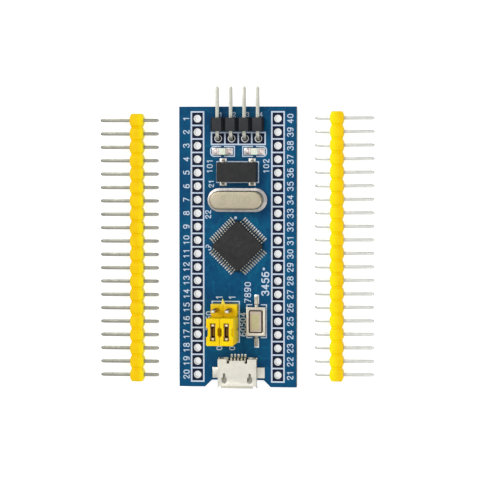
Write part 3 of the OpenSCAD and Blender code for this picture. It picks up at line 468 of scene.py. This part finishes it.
for name, width in {
    "mcu_package": 0.07, "clock_crystal_package": 0.09, "regulator_package": 0.04,
    "mcu_leads": 0.02, "clock_crystal_leads": 0.04, "regulator_leads": 0.03, "reset_switch_terminals": 0.03,
    "reset_switch_base": 0.05, "reset_switch_cover": 0.06, "reset_button": 0.1,
    "boot_header_housing": 0.08, "debug_header_housing": 0.08,
    "left_strip_housing": 0.08, "right_strip_housing": 0.08,
    "boot_header_pins": 0.03, "debug_header_pins": 0.04, "left_strip_pins": 0.03, "right_strip_pins": 0.03,
    "left_jumper_cap": 0.1, "right_jumper_cap": 0.1, "left_jumper_clip": 0.03, "right_jumper_clip": 0.03,
    "usb_shell": 0.04, "usb_insulator": 0.04, "usb_contacts": 0.02,
    "capacitor_bodies": 0.05, "capacitor_terminals": 0.05, "resistor_substrates": 0.02,
    "resistor_terminals": 0.04, "resistor_coats": 0.015,
    "led_terminals": 0.03, "led_substrates": 0.02, "led_lenses": 0.07,
    "smd_pads_top": 0.012, "smd_pads_bottom": 0.012, "crystal_base": 0.04, "crystal_can": 0.05,
}.items():
    soften(nodes[name], width)


# ---------------------------------------------------------------- mesh helpers

def add_piece(name, bm, paint, body, smooth=True):
    mesh = bpy.data.meshes.new(name)
    bmesh.ops.recalc_face_normals(bm, faces=bm.faces)
    bm.to_mesh(mesh)
    bm.free()
    obj = bpy.data.objects.new(name, mesh)
    bpy.context.scene.collection.objects.link(obj)
    for polygon in mesh.polygons:
        polygon.use_smooth = smooth
    if smooth:
        mesh.set_sharp_from_angle(angle=math.radians(35))
    cover_with(obj, paint)
    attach(obj, body)
    return obj


def stroke_shapes(points, width):
    """A line of even width as convex outlines: one quad for each stretch and one disc for each point."""
    points = [Vector(p) for p in points]
    half = width / 2
    shapes = []
    for a, b in zip(points, points[1:]):
        if (b - a).length > 1e-4:
            along = (b - a).normalized() * half
            across = Vector((-along.y, along.x))
            shapes.append([a - across, b - across, b + across, a + across])
    disc = [Vector((math.cos(t), math.sin(t))) * half for t in (math.pi * k / 5 for k in range(10))]
    shapes += [[p + corner for corner in disc] for p in points]
    return shapes


def keep_outline(flat, triangles):
    """The same flat area in far fewer triangles, with no corners but those on its outline."""
    pairs = {pair for t in triangles for pair in zip(t, (*t[1:], t[0]))}
    edges = [(i, j) for i, j in pairs if (j, i) not in pairs]
    corners = sorted({i for edge in edges for i in edge})
    place = {i: k for k, i in enumerate(corners)}
    outline = sorted((place[i], place[j]) for i, j in edges)
    flat, _, triangles, _, _, _ = delaunay_2d_cdt([flat[i] for i in corners], outline, [], 1, 1e-7)

    # The area lies on the left of each edge, so what is reached from its right is outside or in a hole
    walls = {*outline, *((j, i) for i, j in outline)}
    triangle_at = {pair: k for k, t in enumerate(triangles) for pair in zip(t, (*t[1:], t[0]))}
    reached = [triangle_at[(j, i)] for i, j in outline if (j, i) in triangle_at]
    outside = set()
    while reached:
        k = reached.pop()
        if k not in outside:
            outside.add(k)
            t = triangles[k]
            reached += [triangle_at[(j, i)] for i, j in zip(t, (*t[1:], t[0]))
                        if (i, j) not in walls and (j, i) in triangle_at]
    return flat, [t for k, t in enumerate(triangles) if k not in outside]


def raise_union(bm, shapes, low, high):
    """Raises the union of flat convex outlines into one closed solid, with no face laid over another."""
    corners, faces = [], []
    for shape in shapes:
        faces.append(list(range(len(corners), len(corners) + len(shape))))
        corners += [Vector(p) for p in shape]
    flat, _, triangles, _, _, owners = delaunay_2d_cdt(corners, [], faces, 1, 1e-4)
    flat, triangles = keep_outline(flat, [t for t, owner in zip(triangles, owners) if owner])
    used = sorted({i for t in triangles for i in t})
    below = {i: bm.verts.new((flat[i].x * MM, flat[i].y * MM, low * MM)) for i in used}
    above = {i: bm.verts.new((flat[i].x * MM, flat[i].y * MM, high * MM)) for i in used}
    sides = {}
    for t in triangles:
        bm.faces.new([above[i] for i in t])
        bm.faces.new([below[i] for i in reversed(t)])
        sides.update({pair: None for pair in zip(t, (*t[1:], t[0]))})
    for i, j in sides:
        if (j, i) not in sides:
            bm.faces.new((above[j], above[i], below[i], below[j]))


def rounded(points, closed=False, times=1):
    """Corner-cutting, which turns a rough line into a smooth one."""
    for _ in range(times):
        made = []
        count = len(points)
        for i in range(count if closed else count - 1):
            a, b = Vector(points[i]), Vector(points[(i + 1) % count])
            made += [a.lerp(b, 0.25), a.lerp(b, 0.75)]
        if not closed:
            made = [Vector(points[0]), *made[1:-1], Vector(points[-1])]
        points = made
    return points


def ring(bm, x, y, inner, outer, low, high, sides=20):
    """A flat ring with a raised rim, closed all round."""
    loops = []
    profile = ((inner, low), (inner, high - 0.002), (inner + 0.02, high), (outer - 0.03, high), (outer, low))
    for radius, z in profile:
        loops.append([bm.verts.new(((x + radius * math.cos(a)) * MM, (y + radius * math.sin(a)) * MM, z * MM))
                      for a in (2 * math.pi * k / sides for k in range(sides))])
    loops.append(loops[0])
    for a, b in zip(loops, loops[1:]):
        for k in range(sides):
            m = (k + 1) % sides
            bm.faces.new((a[k], a[m], b[m], b[k]))


def mound(bm, place, size, height, steps=8, power=4, lean=0.0):
    """A lump of solder on a pad: flat below, crowned above, round corners. lean moves the crown along x."""
    w, l = size
    top, low = [], []
    for i in range(steps + 1):
        row_top, row_low = [], []
        for j in range(steps + 1):
            u, v = 2 * i / steps - 1, 2 * j / steps - 1
            r = max(abs(u), abs(v))
            if r > 0:
                squeeze = r / (abs(u) ** power + abs(v) ** power) ** (1 / power)
                u, v = u * squeeze, v * squeeze
            rise = height * max(0.0, 1 - r ** 2.2) * (1 + lean * u)
            row_top.append(bm.verts.new(place @ Vector((u * w / 2, v * l / 2, rise)) * MM))
            row_low.append(bm.verts.new(place @ Vector((u * w / 2, v * l / 2, -0.004)) * MM))
        top.append(row_top)
        low.append(row_low)
    for i in range(steps):
        for j in range(steps):
            bm.faces.new((top[i][j], top[i + 1][j], top[i + 1][j + 1], top[i][j + 1]))
            bm.faces.new((low[i][j], low[i][j + 1], low[i + 1][j + 1], low[i + 1][j]))
    for i in range(steps):
        bm.faces.new((top[i][0], low[i][0], low[i + 1][0], top[i + 1][0]))
        bm.faces.new((top[i + 1][steps], low[i + 1][steps], low[i][steps], top[i][steps]))
        bm.faces.new((top[0][i + 1], low[0][i + 1], low[0][i], top[0][i]))
        bm.faces.new((top[steps][i], low[steps][i], low[steps][i + 1], top[steps][i + 1]))


# ---------------------------------------------------------------- numbers in ink

DIGITS = {
    "0": ([(0.3, 1), (0.04, 0.9), (0, 0.5), (0.04, 0.1), (0.3, 0), (0.56, 0.1), (0.6, 0.5),
           (0.56, 0.9)], True),
    "1": ([(0.1, 0.78), (0.34, 1), (0.34, 0)], None),
    "2": ([(0.02, 0.72), (0.08, 0.98), (0.52, 1.04), (0.62, 0.68), (0.3, 0.34), (0, 0), (0.62, 0)], False),
    "3": ([(0, 0.84), (0.14, 1.02), (0.54, 1.0), (0.56, 0.6), (0.2, 0.54), (0.6, 0.5), (0.62, 0.02),
           (0.12, -0.04), (0, 0.18)], False),
    "4": ([(0.44, 0), (0.44, 1), (0, 0.3), (0.62, 0.3)], None),
    "5": ([(0.56, 1), (0.1, 1), (0.04, 0.54), (0.3, 0.66), (0.6, 0.54), (0.6, 0.02), (0.16, -0.04),
           (0, 0.14)], False),
    "6": ([(0.52, 0.96), (0.1, 1.0), (0, 0.4), (0.02, 0.0), (0.56, -0.04), (0.62, 0.5), (0.3, 0.64),
           (0.03, 0.4)], False),
    "7": ([(0, 1), (0.6, 1), (0.2, 0)], None),
    "8": ([(0.3, 0.54), (0.04, 0.62), (0.06, 1), (0.54, 1), (0.56, 0.62), (0.3, 0.54), (0, 0.42), (0, 0),
           (0.6, 0), (0.6, 0.42)], True),
    "9": ([(0.08, 0.04), (0.5, 0.0), (0.6, 0.6), (0.58, 1.0), (0.04, 1.04), (-0.02, 0.5), (0.3, 0.36),
           (0.57, 0.6)], False),
}


def write_digits(bm, text, x, y, height, turn, low, high, weight=0.175, mirror=False, gap=0.34):
    """Digits centred on a place, turned by an angle in degrees. Any other sign leaves a space."""
    advance = 0.6 + gap
    start = -(len(text) * advance - gap) / 2
    c, s = math.cos(math.radians(turn)), math.sin(math.radians(turn))
    for i, digit in enumerate(text):
        if digit not in DIGITS:
            continue
        points, closed = DIGITS[digit]
        if closed is not None:
            points = rounded(points, closed, 2)
            if closed:
                points = [*points, points[0]]
        placed = []
        for p in points:
            u, v = (start + i * advance + p[0]) * height, (p[1] - 0.5) * height
            if mirror:
                u = -u
            placed.append((x + u * c - v * s, y + u * s + v * c))
        raise_union(bm, stroke_shapes(placed, weight), low, high)


row_ys = [(9.5 - i) * PITCH for i in range(20)]
bm = bmesh.new()
for i, y in enumerate(row_ys):
    write_digits(bm, str(i + 1), -9.75, y, 1.04, 90, mask_top, ink_top)
    write_digits(bm, str(40 - i), 9.95, y, 1.04, 90, mask_top, ink_top)
write_digits(bm, "101", -5.3, 15.2, 1.0, 90, mask_top, ink_top)
write_digits(bm, "102", 5.4, 15.2, 1.0, 90, mask_top, ink_top)
write_digits(bm, "21", -5.0, 11.9, 0.85, 90, mask_top, ink_top)
write_digits(bm, "22", -5.6, 6.1, 0.95, 90, mask_top, ink_top)
write_digits(bm, "3", -5.55, -0.1, 1.0, 45, mask_top, ink_top)
write_digits(bm, "3456", 5.22, -6.9, 1.25, 90, mask_top, ink_top, 0.24)
write_digits(bm, "7890", 1.9, -8.55, 1.1, 90, mask_top, ink_top)
for x in (-3.5, -1.05):
    write_digits(bm, "1", x, -9.5, 1.15, 90, mask_top, ink_top)
    write_digits(bm, "0", x, -19.1, 1.0, 90, mask_top, ink_top)
write_digits(bm, "60504", 1.0, -14.6, 1.0, 90, mask_top, ink_top)
write_digits(bm, "7050", -5.5, -13.95, 1.0, 90, mask_top, ink_top)
for i in range(4):
    write_digits(bm, str(i + 1), -3.2 + PITCH * i, 24.9, 0.8, 0, mask_top, ink_top, 0.16)
raise_union(bm, stroke_shapes([(4.95, -4.05), (4.95, -4.15)], 0.45), mask_top, ink_top)
add_piece("position_numbers_top", bm, ink_paint, "board", smooth=False)

bm = bmesh.new()
for i, y in enumerate(row_ys):
    write_digits(bm, str(i + 1), -9.75, y, 1.1, 90, ink_under, mask_under, mirror=True)
    write_digits(bm, str(40 - i), 9.85, y, 1.1, 90, ink_under, mask_under, mirror=True)
add_piece("position_numbers_bottom", bm, ink_paint, "board", smooth=False)


# ---------------------------------------------------------------- copper tracks under the mask

MCU_SIDES = ((-1, 1), (1, 1), (1, -1), (-1, -1))


def controller_tracks():
    """Tracks from the controller's leads out to the header holes, and short ones that end at vias."""
    tracks, vias = [], []
    reach = 4.9
    for sx, sy in MCU_SIDES:
        for k in range(12):
            along = (k - 5.5) * 0.5
            out = Vector((sx, sy)) / math.sqrt(2)
            side = Vector((-sx, sy)) / math.sqrt(2)
            start = MCU.xy + out * reach + side * along
            if k % 2:
                hole_y = sy * PITCH * (0.5 + k // 2)
                rise = (hole_y - start.y) * sy
                if rise > 0.3:
                    bend = start + Vector((sx, sy)) * rise
                    if abs(bend.x) < 6.2:
                        tracks.append([start, bend, Vector((sx * 6.7, bend.y))])
                        continue
            end = start + out * (0.45 + 0.55 * ((k * 5 + 3) % 4) / 3)
            tracks.append([start, end])
            vias.append(end)
    return tracks, vias


tracks, vias = controller_tracks()
drawn = [
    [(-2.6, 11.4), (-2.6, 10.9), (-1.4, 9.7), (-1.4, 5.6)],
    [(2.6, 11.4), (2.6, 10.6), (1.6, 9.6), (1.6, 5.9)],
    [(-4.3, 17.9), (-5.6, 17.9), (-6.4, 18.7), (-6.4, 19.6)],
    [(-1.5, 17.2), (-0.6, 16.6), (0.8, 16.6), (1.8, 17.4)],
    [(4.7, 17.9), (5.7, 17.9), (6.5, 17.1), (6.5, 15.0)],
    [(-3.81, 19.3), (-3.81, 19.0), (-5.9, 19.0)],
    [(1.27, 19.3), (1.27, 18.9), (0.2, 18.2), (0.2, 17.2)],
    [(3.81, 21.6), (5.4, 22.4), (5.9, 23.5), (6.5, 24.1)],
    [(-5.5, 13.0), (-5.5, 11.4), (-6.3, 10.6)],
    [(5.6, 13.2), (5.6, 10.4), (6.3, 9.7)],
    [(3.5, -9.2), (3.5, -7.4), (4.4, -6.5), (6.4, -6.5)],
    [(3.5, -19.0), (3.5, -19.9), (4.6, -21.0), (6.3, -21.0)],
    [(-1.3, -20.2), (-1.3, -19.6), (-4.9, -19.6), (-6.3, -18.2)],
    [(-0.65, -20.2), (-0.65, -19.9), (0.1, -19.1), (0.1, -11.2), (-1.6, -9.5), (-1.6, -7.0)],
    [(0, -20.2), (0, -19.7), (0.5, -19.2), (0.5, -10.7), (0.9, -10.3), (0.9, -6.6)],
    [(1.3, -20.2), (2.6, -18.9), (5.6, -18.9), (6.4, -18.1)],
    [(-5.3, -12.0), (-6.0, -11.3), (-6.0, -9.2), (-6.4, -8.8)],
    [(-3.6, -10.4), (-3.6, -9.6), (-4.6, -8.6), (-4.6, -6.8)],
    [(5.9, -10.6), (5.9, -16.3), (6.4, -16.8)],
    [(-8.8, 25.9), (-6.0, 25.9), (-5.4, 25.3), (5.4, 25.3), (6.0, 25.9), (8.8, 25.9)],
]
tracks += [[Vector(p) for p in line] for line in drawn]
vias += [Vector(p) for p in (
    (-1.4, 5.6), (1.6, 5.9), (-6.4, 19.6), (-6.3, 10.6), (6.3, 9.7), (6.4, -6.5), (-4.6, -6.8),
    (-1.6, -7.0), (0.9, -6.6), (6.5, 15.0), (0.2, 17.2), (-5.9, 19.0), (-5.2, -22.5), (5.6, -22.9),
    (-6.1, -20.4), (2.6, -21.6), (-5.6, 22.6), (5.2, 20.6), (-5.3, 8.9), (5.9, 6.4), (-5.9, 3.9),
    (5.7, 4.3), (-5.7, -4.4), (0.1, -5.9), (-2.2, -8.0), (3.2, -7.9), (6.1, -3.2), (-6.0, -15.2),
    (1.7, -17.9), (-0.2, 12.0), (0.6, 15.9),
)]


def raise_tracks(bm, lines, width, low, high):
    raise_union(bm, [shape for line in lines for shape in stroke_shapes(line, width)], low, high)


gap_bm, track_bm = bmesh.new(), bmesh.new()
raise_tracks(gap_bm, tracks, 0.62, mask_top - 0.005, mask_top + 0.002)
raise_tracks(track_bm, tracks, 0.26, mask_top - 0.005, mask_top + 0.012)
for v in vias:
    ring(track_bm, v.x, v.y, 0.13, 0.31, mask_top - 0.004, mask_top + 0.014)
gap_paint = make_mask("solder_mask_over_laminate", False)
add_piece("track_gaps_top", gap_bm, gap_paint, "board", smooth=False)
add_piece("track_relief_top", track_bm, trace_paint, "board")

# the underside: tracks between the same vias, and from the small parts to the header holes
under = [
    [(-6.0, 22.6), (-4.6, 21.2), (-4.6, 17.4), (-4.0, 16.8)],
    [(-1.27, 19.3), (-1.27, 15.6), (-3.2, 13.7), (-3.2, 9.5), (-1.4, 7.7), (-1.4, 5.6)],
    [(1.27, 19.3), (1.27, 15.0), (3.0, 13.3), (3.0, 10.2), (1.6, 8.8), (1.6, 5.9)],
    [(6.5, 15.0), (6.5, 11.0), (5.8, 10.3), (5.8, 8.9)],
    [(-6.3, 10.6), (-6.3, 6.4), (-4.4, 4.5), (-3.7, 3.8)],
    [(-2.4, 2.4), (-0.8, 0.8), (-0.8, -2.2), (-2.4, -3.8)],
    [(2.4, 2.4), (1.0, 1.0), (1.0, -1.8), (2.4, -3.2)],
    [(0, 4.4), (0, 1.6)], [(0, -4.4), (0, -1.8)],
    [(-5.7, -4.4), (-5.7, -5.3), (-5.0, -6.0)],
    [(-1.6, -7.0), (-1.6, -9.4), (-3.6, -11.4)],
    [(0.9, -6.6), (0.9, -14.2), (0.9, -16.4)],
    [(6.4, -6.5), (5.0, -7.9), (5.0, -9.5)],
    [(3.2, -11.4), (3.2, -13.2), (4.9, -14.9), (5.1, -16.2)],
    [(5.3, -18.4), (6.3, -19.4)], [(2.6, -18.4), (0.9, -19.0)],
    [(-2.9, -19.6), (-2.9, -18.4), (-0.6, -16.1), (-0.6, -12.4)],
    [(-4.6, -21.6), (-4.6, -22.8), (-3.4, -24.0), (3.6, -24.0), (4.6, -23.0), (4.6, -22.4)],
]
gap_bm, track_bm = bmesh.new(), bmesh.new()
raise_tracks(gap_bm, under, 0.75, mask_under - 0.002, mask_under + 0.005)
raise_tracks(track_bm, under, 0.32, mask_under - 0.012, mask_under + 0.005)
for v in vias:
    ring(track_bm, v.x, v.y, 0.13, 0.31, mask_under + 0.004, mask_under - 0.014)
add_piece("track_gaps_bottom", gap_bm, gap_paint, "board", smooth=False)
add_piece("track_relief_bottom", track_bm, trace_paint, "board")


# ---------------------------------------------------------------- solder on the pads

def at(x, y, z, turn=0.0, under=False):
    flip = Matrix.Scale(-1, 4, (0, 0, 1)) if under else Matrix.Identity(4)
    return Matrix.Translation((x, y, z)) @ flip @ Matrix.Rotation(math.radians(turn), 4, "Z")


pad_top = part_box("smd_pads_top")[1].z / MM
pad_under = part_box("smd_pads_bottom")[0].z / MM
bm = bmesh.new()
for s in (-1, 1):
    mound(bm, at(RESET.x, RESET.y + s * 4.1, pad_top), (0.72, 1.5), 0.07)
    mound(bm, at(USB_X + s * 4.5, -23.7, pad_top), (0.85, 1.9), 0.12)
add_piece("solder_on_pads_top", bm, solder_paint, "board")

bm = bmesh.new()
led_low, led_high, led_middle = span("led_terminals")
for x in (led_low.x + 1, led_high.x - 1):
    for s in (-1, 1):
        mound(bm, at(x + s * 1.36, led_middle.y, pad_top, 0 if s > 0 else 180), (1.0, 1.15), 0.2, lean=-0.5)
add_piece("solder_on_led_pads", bm, end_paint, "board")

bm = bmesh.new()
for name in ("capacitor_terminals", "resistor_terminals"):
    # one lump on each small part's end, centred on the middle of that end's own vertices
    mesh = nodes[name].data
    tree = bmesh.new()
    tree.from_mesh(mesh)
    bmesh.ops.remove_doubles(tree, verts=tree.verts, dist=2e-7)
    seen = set()
    for v in tree.verts:
        if v in seen:
            continue
        group, todo = [], [v]
        seen.add(v)
        while todo:
            w = todo.pop()
            group.append(w)
            for e in w.link_edges:
                o = e.other_vert(w)
                if o not in seen:
                    seen.add(o)
                    todo.append(o)
        middle = sum((g.co for g in group), Vector()) / len(group) / MM
        mound(bm, at(middle.x, middle.y, pad_under, under=True), (0.85, 0.85), 0.2, steps=6, power=2.5)
    tree.free()
add_piece("solder_on_pads_bottom", bm, solder_paint, "board")


# ---------------------------------------------------------------- marks on the packages

_, crystal_high, crystal_middle = span("crystal_can")
stamp_paint = metal("stamped_metal", (0.36, 0.325, 0.235), (0.38, 0.33, 0.25), 0.45, depth=0.002)
bm = bmesh.new()
write_digits(bm, "5.000", crystal_middle.x, crystal_middle.y, 1.5, 0,
             crystal_high.z - 0.004, crystal_high.z + 0.003, 0.1, gap=0.16)
add_piece("crystal_marks", bm, stamp_paint, "board", smooth=False)

mcu_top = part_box("mcu_package")[1].z / MM
mark_paint = plastic("laser_mark", (0.05, 0.05, 0.048), (0.038, 0.038, 0.037), 0.7, Specular_IOR_Level=0.12)
bm = bmesh.new()
for row, text in enumerate(("1234", "567890", "12345")):
    across = Vector((1, 1)).normalized()
    down = Vector((1, -1)).normalized()
    place = down * (row - 1) * 1.2 + MCU.xy
    write_digits(bm, text, place.x, place.y, 0.62, 45, mcu_top - 0.004, mcu_top + 0.003, 0.09)
add_piece("controller_marks", bm, mark_paint, "board", smooth=False)


# ---------------------------------------------------------------- the fold at the top of each cap's clip

# painted light: the fold is painted brown, standing in for the yellow-brown light inside the cap, and shows
# as a brown glint
fold_paint = metal("spring_fold_painted_light", (0.46, 0.28, 0.10), (0.30, 0.16, 0.05), 0.4, brush=(1, 0.2, 1), depth=0.004)


def clip_fold(middle, top, half_width=0.31, half_length=0.72, drop=0.5, steps=10):
    """An arched strip between the clip's two leaves, in the space between the two pins."""
    bm = bmesh.new()
    arch = [(u * half_width, top - drop * u * u) for u in (2 * k / steps - 1 for k in range(steps + 1))]
    loops = []
    for y in (middle.y - half_length, middle.y + half_length):
        outer = [bm.verts.new(Vector((middle.x + x, y, z)) * MM) for x, z in arch]
        inner = [bm.verts.new(Vector((middle.x + x * 0.7, y, z - 0.12)) * MM) for x, z in arch]
        loops.append((outer, inner))
    (oa, ia), (ob, ib) = loops
    for k in range(steps):
        bm.faces.new((oa[k], oa[k + 1], ob[k + 1], ob[k]))
        bm.faces.new((ia[k + 1], ia[k], ib[k], ib[k + 1]))
        bm.faces.new((oa[k + 1], oa[k], ia[k], ia[k + 1]))
        bm.faces.new((ob[k], ob[k + 1], ib[k + 1], ib[k]))
    for k in (0, steps):
        bm.faces.new((oa[k], ob[k], ib[k], ia[k]))
    return bm


for side in ("left", "right"):
    _, high, middle = span(side + "_jumper_clip")
    fold = clip_fold(middle, high.z - 0.35)
    add_piece(side + "_clip_fold", fold, fold_paint, side + "_cap")


# ---------------------------------------------------------------- floor, lights and camera

def make_floor():
    bm = bmesh.new()
    bmesh.ops.create_grid(bm, x_segments=8, y_segments=8, size=3.0)
    mesh = bpy.data.meshes.new("floor")
    bm.to_mesh(mesh)
    bm.free()
    obj = bpy.data.objects.new("floor", mesh)
    bpy.context.scene.collection.objects.link(obj)
    obj.location.z = floor_z - 0.01 * MM
    p = Paint("pale_floor", Specular_IOR_Level=0.1)
    p.set("Base Color", p.mix(p.noise(120, 2), (0.55, 0.55, 0.55), (0.57, 0.57, 0.57)))
    p.set("Roughness", p.remap(p.noise(60, 2), 0, 1, 0.8, 0.95))
    p.set("Emission Color", (1, 1, 1))
    p.set("Emission Strength", 0.7)
    cover_with(obj, p)


def make_world():
    world = bpy.data.worlds.new("studio")
    bpy.context.scene.world = world
    world.use_nodes = True
    t = world.node_tree
    background = t.nodes["Background"]
    coordinates = t.nodes.new("ShaderNodeTexCoord")
    split = t.nodes.new("ShaderNodeSeparateXYZ")
    ramp = t.nodes.new("ShaderNodeValToRGB")
    t.links.new(coordinates.outputs["Generated"], split.inputs[0])
    t.links.new(split.outputs["Z"], ramp.inputs[0])
    t.links.new(ramp.outputs["Color"], background.inputs["Color"])
    stops = ramp.color_ramp.elements
    stops[0].position, stops[0].color = 0.0, (0.3, 0.31, 0.33, 1)
    stops[1].position, stops[1].color = 0.75, (0.98, 0.99, 1.0, 1)
    background.inputs["Strength"].default_value = 0.8


def area_light(name, place, size, power, colour=(1, 1, 1)):
    light = bpy.data.lights.new(name, "AREA")
    light.shape = "SQUARE"
    light.size = size
    light.energy = power
    light.color = colour
    obj = bpy.data.objects.new(name, light)
    bpy.context.scene.collection.objects.link(obj)
    obj.location = place
    obj.rotation_mode = "QUATERNION"
    obj.rotation_quaternion = (-Vector(place)).to_track_quat("-Z", "Y")


def make_camera():
    data = bpy.data.cameras.new("camera")
    obj = bpy.data.objects.new("camera", data)
    bpy.context.scene.collection.objects.link(obj)
    data.sensor_width = 36
    data.lens = 172.25
    data.clip_start, data.clip_end = 0.01, 20
    aim = Vector((2.33, -0.55, 1.6)) * MM
    tilt_x, tilt_y, distance = math.radians(6.9), math.radians(2.5), 0.45
    back = Vector((math.tan(tilt_x), math.tan(tilt_y), 1)).normalized()
    obj.location = aim + back * distance
    right = Vector((0, 1, 0)).cross(back).normalized()
    up = back.cross(right)
    obj.rotation_mode = "QUATERNION"
    obj.rotation_quaternion = Matrix((right, up, back)).transposed().to_quaternion()
    bpy.context.scene.camera = obj


make_floor()
make_world()
area_light("key", (-0.45, 0.35, 0.9), 0.5, 3.8)
area_light("fill", (0.6, -0.3, 0.8), 0.7, 2.2)
make_camera()
bpy.context.scene.view_settings.view_transform = "Standard"
